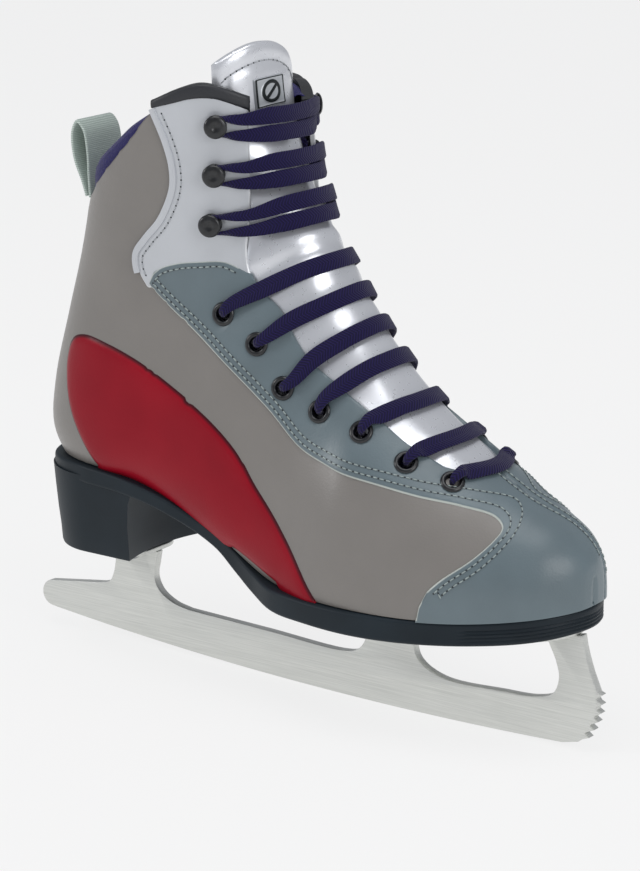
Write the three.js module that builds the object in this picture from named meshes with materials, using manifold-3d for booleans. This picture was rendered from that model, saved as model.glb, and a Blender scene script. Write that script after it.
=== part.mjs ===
// A laced figure skate, right foot: a panelled boot on a moulded heel sole, and a steel blade with toe picks.
// Frame: millimetres, +Z up, +X to the toe, the outer side of the foot towards -Y.
// The origin is midway along the object, on the ice, under the middle of the blade.
import * as THREE from "three";
import { mergeVertices } from "three/addons/utils/BufferGeometryUtils.js";
import Module from "manifold-3d";

const wasm = await Module();
wasm.setup();

// ---- Driving dimensions ----
const soleLength = 255;
const ballWidth = 86;
const bootHeight = 186; // ball seat to collar
const ballSeat = 52; // ice to the top of the sole at the ball of the foot
const heelBottom = 44.8; // ice to the underside of the heel
const bladeThickness = 3.8;
const plateThickness = 2;
const leather = 2;
const stiffener = 1.2;
const forefootPadding = 3.2;
const collarPadding = 6;
const boardThickness = 2;
const footbedThickness = 4;
const tongueThickness = 3;
const overlay = 1;
const strapThickness = 1.6;
const strapWidth = 22;
const eyeletBore = 5.2;
const eyeletWall = 0.5;
const eyeletSetBack = 5.5; // throat edge to eyelet centre
const hookHeight = 5.4;
const hookNeck = 3.4;
const hookRivet = 3;
const laceWidth = 6;
const laceThickness = 1.2;
const screwHead = 7;
const gap = 0.3; // clearance between touching pieces

// The tables below are drawn for these sizes, and are stretched to the driving ones.
const lengthScale = soleLength / 255;
const widthScale = ballWidth / 86;
const heightScale = bootHeight / 186;
const across = (x) => x * lengthScale;
const upward = (z) => ballSeat + (z - 52) * heightScale;

// ---- Geometry helpers ----
function solidOf(geometry) {
  const bare = geometry.clone();
  bare.deleteAttribute("normal");
  bare.deleteAttribute("uv");
  const merged = mergeVertices(bare, 1e-4);
  const mesh = new wasm.Mesh({
    numProp: 3,
    vertProperties: merged.attributes.position.array,
    triVerts: new Uint32Array(merged.index.array),
  });
  return new wasm.Manifold(mesh);
}

function geometryOf(solid) {
  const mesh = solid.getMesh();
  const points = new Float32Array(mesh.numVert * 3);
  for (let i = 0; i < mesh.numVert; i += 1) {
    const at = i * mesh.numProp;
    points.set(mesh.vertProperties.subarray(at, at + 3), i * 3);
  }
  return indexed(points, new Uint32Array(mesh.triVerts));
}

function indexed(points, triangles) {
  const geometry = new THREE.BufferGeometry();
  geometry.setAttribute("position", new THREE.BufferAttribute(new Float32Array(points), 3));
  geometry.setIndex(new THREE.BufferAttribute(new Uint32Array(triangles), 1));
  geometry.computeVertexNormals();
  return geometry;
}

// A closed skin over rings of points, each ring a convex loop, with a fan over both ends.
function loft(rings) {
  const n = rings[0].length;
  const points = rings.flat(2);
  const triangles = [];
  for (let r = 0; r + 1 < rings.length; r += 1)
    for (let k = 0; k < n; k += 1) {
      const a = r * n + k;
      const b = r * n + ((k + 1) % n);
      triangles.push(a, b, b + n, a, b + n, a + n);
    }
  for (const r of [0, rings.length - 1]) {
    const centre = [0, 1, 2].map((k) => rings[r].reduce((sum, p) => sum + p[k], 0) / n);
    const c = points.length / 3;
    points.push(...centre);
    for (let k = 0; k < n; k += 1) {
      const a = r * n + k;
      const b = r * n + ((k + 1) % n);
      triangles.push(...(r === 0 ? [b, a, c] : [a, b, c]));
    }
  }
  return indexed(points, triangles);
}

// A closed curved sheet: rows of top points and rows of matching bottom points.
function sheet(top, bottom) {
  const rows = top.length;
  const n = top[0].length;
  const points = [...top.flat(2), ...bottom.flat(2)];
  const under = rows * n;
  const triangles = [];
  const quad = (a, b, c, d) => triangles.push(a, b, c, a, c, d);
  for (let r = 0; r + 1 < rows; r += 1)
    for (let k = 0; k + 1 < n; k += 1) {
      const a = r * n + k;
      quad(a, a + 1, a + n + 1, a + n);
      quad(under + a + n, under + a + n + 1, under + a + 1, under + a);
    }
  for (let k = 0; k + 1 < n; k += 1) {
    const last = (rows - 1) * n + k;
    quad(k + 1, k, under + k, under + k + 1);
    quad(last, last + 1, under + last + 1, under + last);
  }
  for (let r = 0; r + 1 < rows; r += 1) {
    const a = r * n;
    const b = a + n - 1;
    quad(a, a + n, under + a + n, under + a);
    quad(b + n, b, under + b, under + b + n);
  }
  return indexed(points, triangles);
}

const prism = (points, depth) => {
  const shape = new THREE.Shape(points.map(([a, b]) => new THREE.Vector2(a, b)));
  return new THREE.ExtrudeGeometry(shape, { depth, bevelEnabled: false });
};

// An outline in X and Z, filled from y0 to y1.
function sidePrism(points, y0, y1) {
  const geometry = prism(points, y1 - y0);
  geometry.rotateX(Math.PI / 2);
  geometry.translate(0, y1, 0);
  return solidOf(geometry);
}

// An outline in X and Y, filled from z0 to z1.
function planPrism(points, z0, z1) {
  const geometry = prism(points, z1 - z0);
  geometry.translate(0, 0, z0);
  return solidOf(geometry);
}

// An outline in Y and Z, filled from x0 to x1.
function frontPrism(points, x0, x1) {
  const geometry = prism(points, x1 - x0);
  geometry.rotateZ(Math.PI / 2);
  geometry.rotateY(Math.PI / 2);
  geometry.translate(x0, 0, 0);
  return solidOf(geometry);
}

// A smooth line of `count` steps through a few points.
function smooth(points, count, closed = false) {
  const through = points.map(([a, b]) => new THREE.Vector3(a, b, 0));
  const curve = new THREE.CatmullRomCurve3(through, closed, "centripetal");
  const along = curve.getSpacedPoints(count).map((p) => [p.x, p.y]);
  return closed ? along.slice(0, -1) : along;
}

// A side outline drawn in table sizes, as a smooth or straight line in real sizes.
const placed = (points) => points.map(([x, z]) => [across(x), upward(z)]);
const lifted = (points, by) => points.map(([x, z]) => [x, z + by]);

// The outline pushed outwards by a margin, for outlines that run anticlockwise.
function grown(points, margin) {
  return points.map((p, i) => {
    const before = points[(i + points.length - 1) % points.length];
    const after = points[(i + 1) % points.length];
    const along = [after[0] - before[0], after[1] - before[1]];
    const length = Math.hypot(...along);
    return [p[0] + (along[1] / length) * margin, p[1] - (along[0] / length) * margin];
  });
}

// Height of a left-to-right line at x.
function heightOn(line, x) {
  const i = Math.min(Math.max(line.findIndex((p) => p[0] > x), 1), line.length - 1);
  const [[x0, z0], [x1, z1]] = [line[i - 1], line[i]];
  return z0 + ((z1 - z0) * (x - x0)) / (x1 - x0);
}

// ---- The boot's surface ----
// Flat sections fan from the toe, over the foot and up the leg. Each row is one section: its point under
// the foot or behind the leg (x, z), its point on top of the foot or shin (x, z), the half widths on the
// outer and inner side, how far up the widest place is, and how square it is below and above that.
const sections = [
  [131, 48, 131, 69, 1.5, 1.5, 0.42, 3, 3],
  [129.8, 47.6, 129.7, 75, 8, 10, 0.4, 4, 2.6],
  [125.8, 47, 125.6, 81, 15, 17.5, 0.36, 5, 2.3],
  [119.6, 46.5, 119, 86.5, 21.5, 24.5, 0.34, 6, 2.2],
  [111, 46, 110, 91.5, 27, 29.5, 0.32, 6, 2.1],
  [101, 45.5, 100, 97, 31.5, 34, 0.32, 6, 2],
  [88, 45, 89, 103.5, 36.3, 38, 0.32, 6, 2],
  [70, 44.5, 75, 112, 40.8, 41, 0.32, 6, 1.95],
  [50, 44.5, 62, 121, 43, 41, 0.32, 6, 1.9],
  [28, 44.5, 50, 132, 42.5, 37.5, 0.34, 5.5, 1.9],
  [6, 44.5, 40, 143.5, 37.5, 34, 0.37, 4.5, 1.9],
  [-16, 50, 31, 155, 34, 33, 0.42, 3.4, 1.9],
  [-42, 62, 23, 166, 34, 34, 0.46, 3, 1.9],
  [-72, 73, 17, 175, 34.5, 34.5, 0.48, 2.9, 2],
  [-103, 74, 12, 183, 35, 35, 0.46, 2.8, 2],
  [-119.5, 88, 8, 190, 35, 35, 0.43, 2.5, 2.1],
  [-120.5, 110, 4, 199, 35, 35, 0.42, 2.2, 2.2],
  [-112.5, 140, -1, 210, 36, 36, 0.45, 2.1, 2.2],
  [-104, 168, -5, 222, 37, 37, 0.48, 2.1, 2.2],
  [-98, 195, -8, 236, 38, 38, 0.5, 2.1, 2.2],
  [-94, 225, -10, 254, 39, 39, 0.5, 2.1, 2.2],
  [-92, 250, -12, 270, 39, 39, 0.5, 2.1, 2.2],
];
const lastSection = sections.length - 1;
const toeCentre = 92; // the toe closes as half an ellipse from here
const toeReach = 39;
const fullWidth = 34; // sections narrower than this belong to the closing toe

function sectionAt(u) {
  const i = Math.min(Math.max(Math.floor(u), 0), lastSection - 1);
  const t = u - i;
  const row = (k) => sections[Math.min(Math.max(k, 0), lastSection)];
  return sections[0].map((_, c) => {
    const [a, b, d, e] = [row(i - 1)[c], row(i)[c], row(i + 1)[c], row(i + 2)[c]];
    return b + 0.5 * t * (d - a + t * (2 * a - 5 * b + 4 * d - e + t * (3 * (b - d) + e - a)));
  });
}

// A point of the boot: u is the section, angle runs from under the foot round the outer side to the top
// and back round the inner side, and inset is the depth below the leather's face.
function bootPoint(u, angle, inset) {
  let [xb, zb, xf, zf, outerHalf, innerHalf, belly, squareLow, squareHigh] = sectionAt(u);
  const length = Math.hypot(xf - xb, zf - zb);
  const [dx, dz] = [(xf - xb) / length, (zf - zb) / length];
  const close = (x) => (x > toeCentre ? toeCentre + (x - toeCentre) * (1 - inset / toeReach) : x);
  xb = close(xb + dx * inset);
  xf = close(xf - dx * inset);
  zb += dz * inset;
  zf -= dz * inset;
  const outer = angle <= Math.PI;
  const half = outer ? outerHalf : innerHalf;
  const width = half - inset * Math.min(1, half / fullWidth);
  const phi = outer ? angle : 2 * Math.PI - angle;
  const c = Math.cos(phi);
  const power = 2 / (c > 0 ? squareLow : squareHigh);
  const rise = Math.abs(c) ** power;
  const share = c > 0 ? belly * (1 - rise) : belly + (1 - belly) * rise;
  const y = (outer ? -1 : 1) * width * Math.abs(Math.sin(phi)) ** power;
  return [across(xb + (xf - xb) * share), y * widthScale, upward(zb + (zf - zb) * share)];
}

// The angle where the top of a section is `y` from the middle; side is -1 outside and 1 inside.
function angleAt(u, y, side) {
  const section = sectionAt(u);
  const half = (side < 0 ? section[4] : section[5]) * widthScale;
  const phi = Math.PI - Math.asin(Math.min(y / half, 0.999) ** (section[8] / 2));
  return side < 0 ? phi : 2 * Math.PI - phi;
}

const vector = (p) => new THREE.Vector3(...p);

// Where a fitting sits on the boot: the point, and the directions out of the leather, up the throat
// and away from the middle.
function seatAt(u, y, side) {
  const step = 0.02;
  const angle = angleAt(u, y, side);
  const point = vector(bootPoint(u, angle, 0));
  const up = vector(bootPoint(u + step, angleAt(u + step, y, side), 0)).sub(point).normalize();
  const away = vector(bootPoint(u, angleAt(u, y + 0.5, side), 0)).sub(point).normalize();
  const out = up.clone().cross(away).multiplyScalar(-side).normalize();
  return { point, up, away: out.clone().cross(up).multiplyScalar(-side), out };
}

const bootRows = 21;
const bootColumns = 20;

// The boot filled solid, at a depth that may change over it.
function bootSolid(inset) {
  const depth = typeof inset === "number" ? () => inset : inset;
  const rings = [];
  for (let r = 0; r <= bootRows; r += 1) {
    const u = (r / bootRows) * lastSection;
    const ring = [];
    for (let k = 0; k < bootColumns; k += 1) {
      const angle = (2 * Math.PI * k) / bootColumns;
      ring.push(bootPoint(u, angle, depth(u, angle)));
    }
    rings.push(ring);
  }
  return solidOf(loft(rings));
}

const layer = (from, to) => bootSolid(from).subtract(bootSolid(to));
const ease = (a, b, x) => {
  const t = Math.min(Math.max((x - a) / (b - a), 0), 1);
  return t * t * (3 - 2 * t);
};

// ---- Lines that pieces share ----
const wide = 90;
const seatLine = smooth(placed([
  [-136, 82.5], [-122, 83], [-100, 83.5], [-74, 81.5], [-54, 77], [-36, 70], [-26, 65.5], [-9, 56.5],
  [5, 53], [24, 52], [62, 52], [79, 52.5], [99, 54], [115, 56], [132, 58.5], [142, 60],
]), 30);
const soleUnder = smooth(placed([
  [-136, 75.5], [-122, 76], [-100, 76], [-68, 74], [-50, 69.5], [-27, 59.5], [-16, 51.5], [-4, 46],
  [10, 43.3], [27, 42.8], [57, 42.3], [78, 43], [98, 44.5], [118.5, 47], [132, 49.5], [142, 51],
]), 30);
const slab = (line, low, high) => sidePrism(
  [...lifted(line, low), ...lifted(line, high).reverse()], -wide, wide);
const aboveSeat = (by) => slab(seatLine, by, 300);

// Half the width of the throat, by section.
const throatTable = [
  [6.1, 0.5], [6.25, 9], [6.6, 14], [6.95, 17], [8.1, 20.3], [9.25, 22], [10.65, 22.5], [11.7, 24],
  [13.4, 24.2], [14.85, 24.4], [15.65, 24], [16.95, 22], [18.25, 20.9], [19.25, 19.9], [21, 19.5],
];
const throatHalf = (u) => heightOn(throatTable, u) * widthScale;

// A wedge that opens the throat, wider than it by a margin.
function throatWedge(margin, from) {
  const steps = 26;
  const reach = 14;
  const shares = [-1, -0.6, -0.25, 0, 0.25, 0.6, 1];
  const row = (u, inset) => shares.map((share) => {
    const y = Math.abs(share) * Math.max(throatHalf(Math.max(u, throatTable[0][0])) + margin, 1);
    return bootPoint(u, angleAt(u, y, share < 0 ? -1 : 1), inset);
  });
  const at = (i) => from + ((lastSection - from) * i) / steps;
  const rows = Array.from({ length: steps + 1 }, (_, i) => at(i));
  return solidOf(sheet(rows.map((u) => row(u, -reach)), rows.map((u) => row(u, reach))));
}
const throat = throatWedge(0, throatTable[0][0]);

// Outlines of the upper's panels, seen from the side, anticlockwise.
const vampTop = [[-7, 171], [-12, 173], [-20, 176.3], [-29.8, 175.7], [-39.2, 174.3], [-47.6, 171]];
const vampLow = [
  [-52.6, 165], [-43.1, 156.8], [-29, 146.6], [-13.2, 135.1], [2, 123.3], [18.2, 109.8],
  [35, 104.5], [54.5, 101], [72, 97.8], [87, 95.2], [98.7, 91.6], [102.6, 88], [101.5, 84.5],
  [96.5, 78], [85.6, 68.8], [80, 62], [76.7, 48],
];
const vampOutline = [
  ...smooth(placed(vampLow), 28), ...placed([[150, 40], [150, 120], [60, 190], [10, 190]]),
  ...smooth(placed(vampTop), 10),
];
const cuffRear = [
  [-45.9, 236], [-40.3, 222.6], [-38, 212.6], [-38.5, 203.5], [-44.2, 191], [-51.8, 182.3],
  [-56.3, 176.2], [-56, 169], [-52.6, 163],
];
const cuffTop = [[-8, 232], [-14, 236.5], [-18.9, 239.2], [-23.2, 240.8], [-30.1, 240.6], [-37.2, 238.5], [-45.9, 236]];
const bindingTop = [[-6, 234], [-14.2, 240.5], [-20.7, 244], [-27.1, 245.3], [-35.2, 243.1], [-45.9, 237.9]];
const cuffOutline = [
  ...smooth(placed(cuffRear), 20), ...placed([[-30, 160], [20, 160], [20, 225]]), ...smooth(placed(cuffTop), 10),
];
const quarterTop = [[-28, 200], [-39, 224], [-45.4, 233.3], [-58.5, 220.8], [-68.7, 211.5], [-80.8, 201], [-92, 192], [-112, 189]];
const liningTop = [
  [-12, 236], [-22, 238.5], [-30, 238.6], [-37, 237], [-45, 234.8], [-53, 230.4], [-61, 225.6], [-70, 219.2],
  [-80, 212.5], [-90, 206.5], [-112, 203],
];
const redTop = [
  [38, 46], [24, 64.3], [11.4, 78], [-1.4, 91], [-10.1, 103.2], [-22.1, 113.5], [-38.3, 123.5],
  [-55.6, 132], [-72.8, 137.6], [-85.7, 139.5], [-94.1, 136.5], [-98.2, 128], [-98, 117], [-95.4, 105.4],
  [-91.5, 96], [-84, 82],
];
const toeSeam = [[60, 0], [92, 0.3], [105, 1.8], [116, 6.4], [126, 9], [145, 9]];

// ---- The object ----
const group = new THREE.Group();

function add(name, shape, material) {
  const geometry = shape.getMesh ? geometryOf(shape) : shape;
  const mesh = new THREE.Mesh(geometry, material);
  mesh.name = name;
  group.add(mesh);
  return mesh;
}

const finish = (color, roughness, metalness = 0) =>
  new THREE.MeshStandardMaterial({ color, roughness, metalness });
const materials = {
  sole: finish(0x232f37, 0.5),
  steel: finish(0xb2b4b0, 0.35, 0.9),
  greyLeather: finish(0x96918c, 0.5),
  blueLeather: finish(0x6c787c, 0.5),
  silver: finish(0xc8cbd0, 0.3, 0.6),
  red: finish(0x96142a, 0.4),
  strap: finish(0xb4beb6, 0.7),
  lining: finish(0x231e55, 0.9),
  black: finish(0x141619, 0.4),
  lace: finish(0x1c124b, 0.85),
  board: finish(0xb09a78, 0.9),
};

const sides = [["outer", -1], ["inner", 1]];
const seamHalf = gap / 2;
const middleOf = (side) => (side < 0 ? [-wide, -seamHalf] : [seamHalf, wide]);

// ---- Upper ----
function toeHalf(side) {
  const seam = toeSeam.map(([x, y]) => [across(x), y * widthScale + side * seamHalf]);
  const far = [[across(145), side * wide], [-200, side * wide], [-200, side * seamHalf]];
  const outline = [...seam, ...far];
  return planPrism(side < 0 ? outline.reverse() : outline, 0, 300);
}

// Eyelet and hook places: the section, and the distance from the middle.
const eyeletSections = [6.6, 7.8, 9.15, 10.5, 11.6, 12.75, 14.15];
const hookSections = [16.75, 17.9, 19];
const eyeletY = (u) => throatHalf(u) + eyeletSetBack;
const hookY = 29.5 * widthScale;

function peg(radius, seat, low, high) {
  const geometry = new THREE.CylinderGeometry(radius, radius, high - low, 8);
  geometry.translate(0, (high + low) / 2, 0);
  return solidOf(stood(geometry, seat));
}

// Turns a shape that stands on Y so that it stands out of the leather at a seat.
function stood(geometry, seat) {
  const right = seat.out.clone().cross(seat.up);
  const matrix = new THREE.Matrix4().makeBasis(right, seat.out, seat.up);
  matrix.setPosition(seat.point);
  return geometry.clone().applyMatrix4(matrix);
}

function upperPanels() {
  const skin = layer(0, leather).intersect(aboveSeat(gap)).subtract(throat);
  for (const [name, side] of sides) {
    const [y0, y1] = middleOf(side);
    const skinHalf = skin.intersect(sidePrism([[-200, 0], [200, 0], [200, 300], [-200, 300]], y0, y1));
    const punch = eyeletSections
      .map((u) => peg(eyeletBore / 2 + eyeletWall + gap, seatAt(u, eyeletY(u), side), -8, 6))
      .reduce((all, next) => all.add(next));
    const hookPunch = hookSections
      .map((u) => peg(hookRivet / 2 + gap, seatAt(u, hookY, side), -8, 6))
      .reduce((all, next) => all.add(next));
    const vamp = skin.intersect(sidePrism(vampOutline, -wide, wide)).intersect(toeHalf(side)).subtract(punch);
    add(`vamp_${name}`, vamp, materials.blueLeather);
    const vampZone = sidePrism(grown(vampOutline, gap), -wide, wide);
    const cuff = skinHalf.intersect(sidePrism(cuffOutline, -wide, wide)).subtract(vampZone).subtract(hookPunch);
    add(`cuff_${name}`, cuff, materials.silver);
    const cuffZone = sidePrism(grown(cuffOutline, gap), -wide, wide);
    const quarterZone = sidePrism([...placed([[-150, 0], [150, 0], [150, 200]]), ...smooth(placed(quarterTop), 12),
      ...placed([[-150, 189]])], -wide, wide);
    add(`quarter_${name}`, skinHalf.intersect(quarterZone).subtract(vampZone).subtract(cuffZone), materials.greyLeather);
    const binding = sidePrism([...lifted(smooth(placed(cuffTop), 10), gap).reverse(),
      ...smooth(placed(bindingTop), 10)], y0, y1);
    add(`collar_binding_${name}`, layer(-0.7, leather).intersect(binding).subtract(throat), materials.black);
  }
}

function redPanels() {
  const skin = layer(-gap - overlay, -gap).intersect(aboveSeat(2 * gap));
  const outline = smooth(placed(redTop), 28);
  for (const [name, side] of sides) {
    const [y0, y1] = middleOf(side);
    add(`side_panel_${name}`, skin.intersect(sidePrism([...outline], y0, y1)), materials.red);
  }
}

// The strap that covers the back seam, and the pull loop that its end makes.
const loopBase = 189;
function backstay() {
  const strap = layer(-gap - strapThickness, -gap).intersect(aboveSeat(2 * gap));
  const zone = sidePrism(placed([[-140, 60], [-85, 60], [-85, loopBase], [-140, loopBase]]), -strapWidth / 2, strapWidth / 2);
  add("backstay", strap.intersect(zone), materials.strap);
}

const loopSeat = (() => {
  const z = upward(loopBase);
  let best = [Infinity, 0];
  for (let u = 15; u < 20; u += 0.01) {
    const p = bootPoint(u, 0, 0);
    if (Math.abs(p[2] - z) < best[0]) best = [Math.abs(p[2] - z), p[0]];
  }
  return [best[1], z];
})();

function pullLoop() {
  const [x, z] = loopSeat;
  const outer = smooth([
    [x - 0.4, z + 0.7], [x - 1, z + 10], [x - 1.6, z + 20], [x - 3.6, z + 29], [x - 7.5, z + 32],
    [x - 11, z + 27], [x - 10, z + 16], [x - 5.8, z + 6], [x - 3.6, z + 0.7],
  ], 26);
  const inner = smooth([
    [x - 2.8, z + 8], [x - 3, z + 18], [x - 4.8, z + 27], [x - 7.5, z + 29.8], [x - 9.4, z + 26], [x - 8.4, z + 16.5],
    [x - 4.6, z + 8],
  ], 18);
  const half = strapWidth / 2;
  add("pull_loop", sidePrism(outer, -half, half).subtract(sidePrism(inner, -wide, wide)), materials.strap);
}

// ---- Stiffeners, padding and what lies under the foot ----
const boardTop = gap + boardThickness;
const liningLow = boardTop + gap;
const footbedLow = liningLow;
const footbedTop = footbedLow + footbedThickness;
const stiffenerIn = leather + gap;
const padding = (u) => forefootPadding + (collarPadding - forefootPadding) * ease(12, 16, u);
const liningFace = leather + 1.4 * gap;
const puffOutline = placed([[95, 40], [150, 40], [150, 120], [95, 120]]);
const counterOutline = placed([[-140, 60], [-52, 60], [-56, 96], [-72, 116], [-98, 130], [-140, 134]]);

function stiffeners() {
  const skin = layer(stiffenerIn, stiffenerIn + stiffener).intersect(aboveSeat(liningLow));
  add("toe_puff", skin.intersect(sidePrism(puffOutline, -wide, wide)), materials.board);
  add("heel_counter", skin.intersect(sidePrism(counterOutline, -wide, wide)), materials.board);
}

function paddedLining() {
  const zone = [...placed([[-150, 0], [150, 0], [150, 150], [10, 215]]), ...smooth(placed(liningTop), 16),
    ...placed([[-150, 203]])];
  const skin = layer(liningFace, (u) => liningFace + padding(u)).intersect(aboveSeat(liningLow));
  const stiff = layer(stiffenerIn - gap, stiffenerIn + stiffener + gap);
  const puffZone = stiff.intersect(sidePrism(grown(puffOutline, gap), -wide, wide));
  const counterZone = stiff.intersect(sidePrism(grown(counterOutline, gap), -wide, wide));
  const bay = throatWedge(eyeletSetBack + 9.5, 5.2);
  const lining = skin.intersect(sidePrism(zone, -wide, wide)).subtract(puffZone).subtract(counterZone).subtract(bay);
  add("padded_lining", lining, materials.lining);
}

function underFoot() {
  const board = bootSolid(leather + gap).intersect(slab(seatLine, gap, boardTop));
  add("insole_board", board, materials.board);
  const footbed = bootSolid((u) => liningFace + padding(u) + gap).intersect(slab(seatLine, footbedLow, footbedTop));
  add("footbed", footbed, materials.lining);
}

// ---- Tongue ----
const tongueStart = 5.7;
const tongueWing = 9;
const creaseHeight = upward(233);
const tongueSplit = 0.8;

function tongueInset(u, y) {
  const deep = 6 + 2 * ease(17, 20, u);
  const middle = deep + (0.9 - deep) * (1 - ease(14.6, 15.8, u)) * ease(5.7, 7.2, u);
  return middle + (deep - middle) * ease(0.5, 0.94, y / throatHalf(Math.max(u, 6.6)));
}

function tongue() {
  const steps = 18;
  const shares = [-1, -0.78, -0.6, -0.36, 0, 0.36, 0.6, 0.78, 1];
  const row = (u, depth) => shares.map((share) => {
    const wing = throatHalf(Math.max(u, 6.6)) + tongueWing * ease(5.7, 7.5, u) + 1.5 * ease(18, 20, u);
    const y = Math.abs(share) * wing;
    return bootPoint(u, angleAt(u, y, share < 0 ? -1 : 1), tongueInset(u, y) + depth);
  });
  const rows = Array.from({ length: steps + 1 }, (_, i) => tongueStart + ((20.9 - tongueStart) * i) / steps);
  const whole = solidOf(sheet(rows.map((u) => row(u, 0)), rows.map((u) => row(u, tongueThickness))));
  const arch = smooth([[-34, 230], [-31, 243], [-25, 251], [-14, 257], [0, 259.3], [14, 257], [25, 251], [31, 243],
    [34, 230]].map(([y, z]) => [-y * widthScale, upward(z)]), 20);
  const lowCut = creaseHeight - tongueSplit / 2;
  const highCut = creaseHeight + tongueSplit / 2;
  const box = (z0, z1) => planPrism([[-200, -wide], [200, -wide], [200, wide], [-200, wide]], z0, z1);
  add("tongue", whole.intersect(box(0, lowCut)), materials.silver);
  const dome = frontPrism([...arch, [-34, 0], [34, 0]], -200, 200);
  add("tongue_top", whole.intersect(box(highCut, 400)).intersect(dome), materials.silver);
}

function tongueLabel() {
  const rows = [0, 0.25, 0.5, 0.75, 1].map((t) => 19.09 + 0.55 * t);
  const shares = [-1, -0.5, 0, 0.5, 1];
  const row = (u, outset) => shares.map((share) => {
    const y = Math.abs(share) * 11 * widthScale;
    return bootPoint(u, angleAt(u, y, share < 0 ? -1 : 1), tongueInset(u, y) - gap - outset);
  });
  const patch = solidOf(sheet(rows.map((u) => row(u, overlay)), rows.map((u) => row(u, 0.2))));
  add("tongue_label", patch, materials.silver);
}

// ---- Eyelets and hooks ----
function turned(profile, sidesCount) {
  const points = profile.map(([r, h]) => new THREE.Vector2(r, h));
  return new THREE.LatheGeometry([...points, points[0]], sidesCount);
}

const flangeUnder = 0.85; // room under the leather for its curve
const flangeOver = 0.42; // and over it

function eyelets() {
  const bore = eyeletBore / 2;
  const wall = bore + eyeletWall;
  const under = -leather - flangeUnder;
  const profile = [
    [bore, under - 0.6], [4.3, under - 0.6], [4.3, under], [wall, under], [wall, flangeOver],
    [4.9, flangeOver], [4.2, flangeOver + 0.9], [bore, flangeOver + 0.9],
  ];
  for (const [name, side] of sides)
    eyeletSections.forEach((u, i) => {
      add(`eyelet_${name}_${i + 1}`, stood(turned(profile, 8), seatAt(u, eyeletY(u), side)), materials.black);
    });
}

function hooks() {
  const under = -leather - flangeUnder;
  const [rivet, neck] = [hookRivet / 2, hookNeck / 2];
  const profile = [
    [0, under - 0.5], [3, under - 0.5], [3, under], [rivet, under], [rivet, gap], [3.7, gap],
    [3.7, gap + 0.8], [neck, gap + 0.8], [neck, hookHeight - 1.2], [3.9, hookHeight - 1.1], [3.4, hookHeight],
    [0, hookHeight],
  ];
  const points = profile.map(([r, h]) => new THREE.Vector2(r, h));
  for (const [name, side] of sides)
    hookSections.forEach((u, i) => {
      const hook = stood(new THREE.LatheGeometry(points, 8), seatAt(u, hookY, side));
      add(`hook_${name}_${i + 1}`, hook, materials.black);
    });
}

// ---- Lace ----
// One flat lace: straight bars out of one eyelet and into the other, climbing under the leather between
// rows, then up and down between the hooks, with both ends tucked inside.
const insideDepth = leather + flangeUnder + 0.6 + gap + laceThickness / 2 + 0.05;
const laceCore = 2.4;
const barHeight = 1.7;

// A step of the lace: where it is, which way its flat face looks, and its width and thickness there.
function laceAt(u, y, side, height, width = laceWidth, thickness = laceThickness, face = null) {
  const seat = seatAt(u, y, side);
  const point = seat.point.clone().addScaledVector(seat.out, height);
  return { point, face: face ? face(seat) : seat.out, width, thickness };
}

// The change of section that moves a point by so many millimetres up the throat.
function sectionShift(u, y, side, millimetres) {
  const a = vector(bootPoint(u, angleAt(u, y, side), 0));
  const b = vector(bootPoint(u + 0.1, angleAt(u + 0.1, y, side), 0));
  return (0.1 * millimetres) / a.distanceTo(b);
}

// A step placed by its distances from a seat: away from the middle, out of the leather, up the throat.
function laceBeside(seat, [away, out, up], face, width, thickness) {
  const point = seat.point.clone().addScaledVector(seat.away, away);
  point.addScaledVector(seat.out, out).addScaledVector(seat.up, up);
  return { point, face, width, thickness };
}

// Through one eyelet from the inside out, coming from above it (1) or below it (-1), or back again.
function eyeletPass(u, side, from, inwards) {
  const seat = seatAt(u, eyeletY(u), side);
  const inside = seat.out.clone().addScaledVector(seat.up, from);
  const outside = seat.out.clone().add(seat.away);
  const steps = [
    laceBeside(seat, [0, -insideDepth, from * 5.2], seat.out, 4, laceThickness),
    laceBeside(seat, [0, -insideDepth, from * 1.4], inside, 3, 1.4),
    laceBeside(seat, [0, -3.2, 0], seat.up.clone().multiplyScalar(from), laceCore, laceCore),
    laceBeside(seat, [0, -0.6, 0], seat.away, laceCore, laceCore),
    laceBeside(seat, [0, 1, 0], seat.away, laceCore, laceCore),
    laceBeside(seat, [-1.3, 2.7, 0], outside, 3.4, 1.6),
    laceBeside(seat, [-5.6, 2.5, 0], seat.out, 4.6, laceThickness),
  ];
  return inwards ? steps.reverse() : steps;
}

function eyeletBar(row, u, from) {
  const dip = 0.45 + 0.08 * row;
  const reach = eyeletY(u) - 5;
  return [0.94, 0.6, 0.3, 0, -0.3, -0.6, -0.94].map((s) => {
    const side = s > 0 ? from : -from;
    const section = u - dip * Math.cos((Math.PI * s) / 2.3);
    return laceAt(section, Math.abs(s) * reach, side, barHeight);
  });
}

function hookTurn(u, side, startAngle) {
  const seat = seatAt(u, hookY, side);
  const radius = hookNeck / 2 + gap + 1.15;
  const middle = seat.point.clone().addScaledVector(seat.out, (gap + 0.8 + hookHeight - 1.2) / 2);
  return [1, 0.6, 0.2, -0.2, -0.6, -1].map((s) => {
    const turn = (s * startAngle * Math.PI) / 2;
    const radial = seat.away.clone().multiplyScalar(Math.cos(turn)).addScaledVector(seat.up, Math.sin(turn));
    return { point: middle.clone().addScaledVector(radial, radius), face: radial, width: laceCore, thickness: 1.6 };
  });
}

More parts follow.
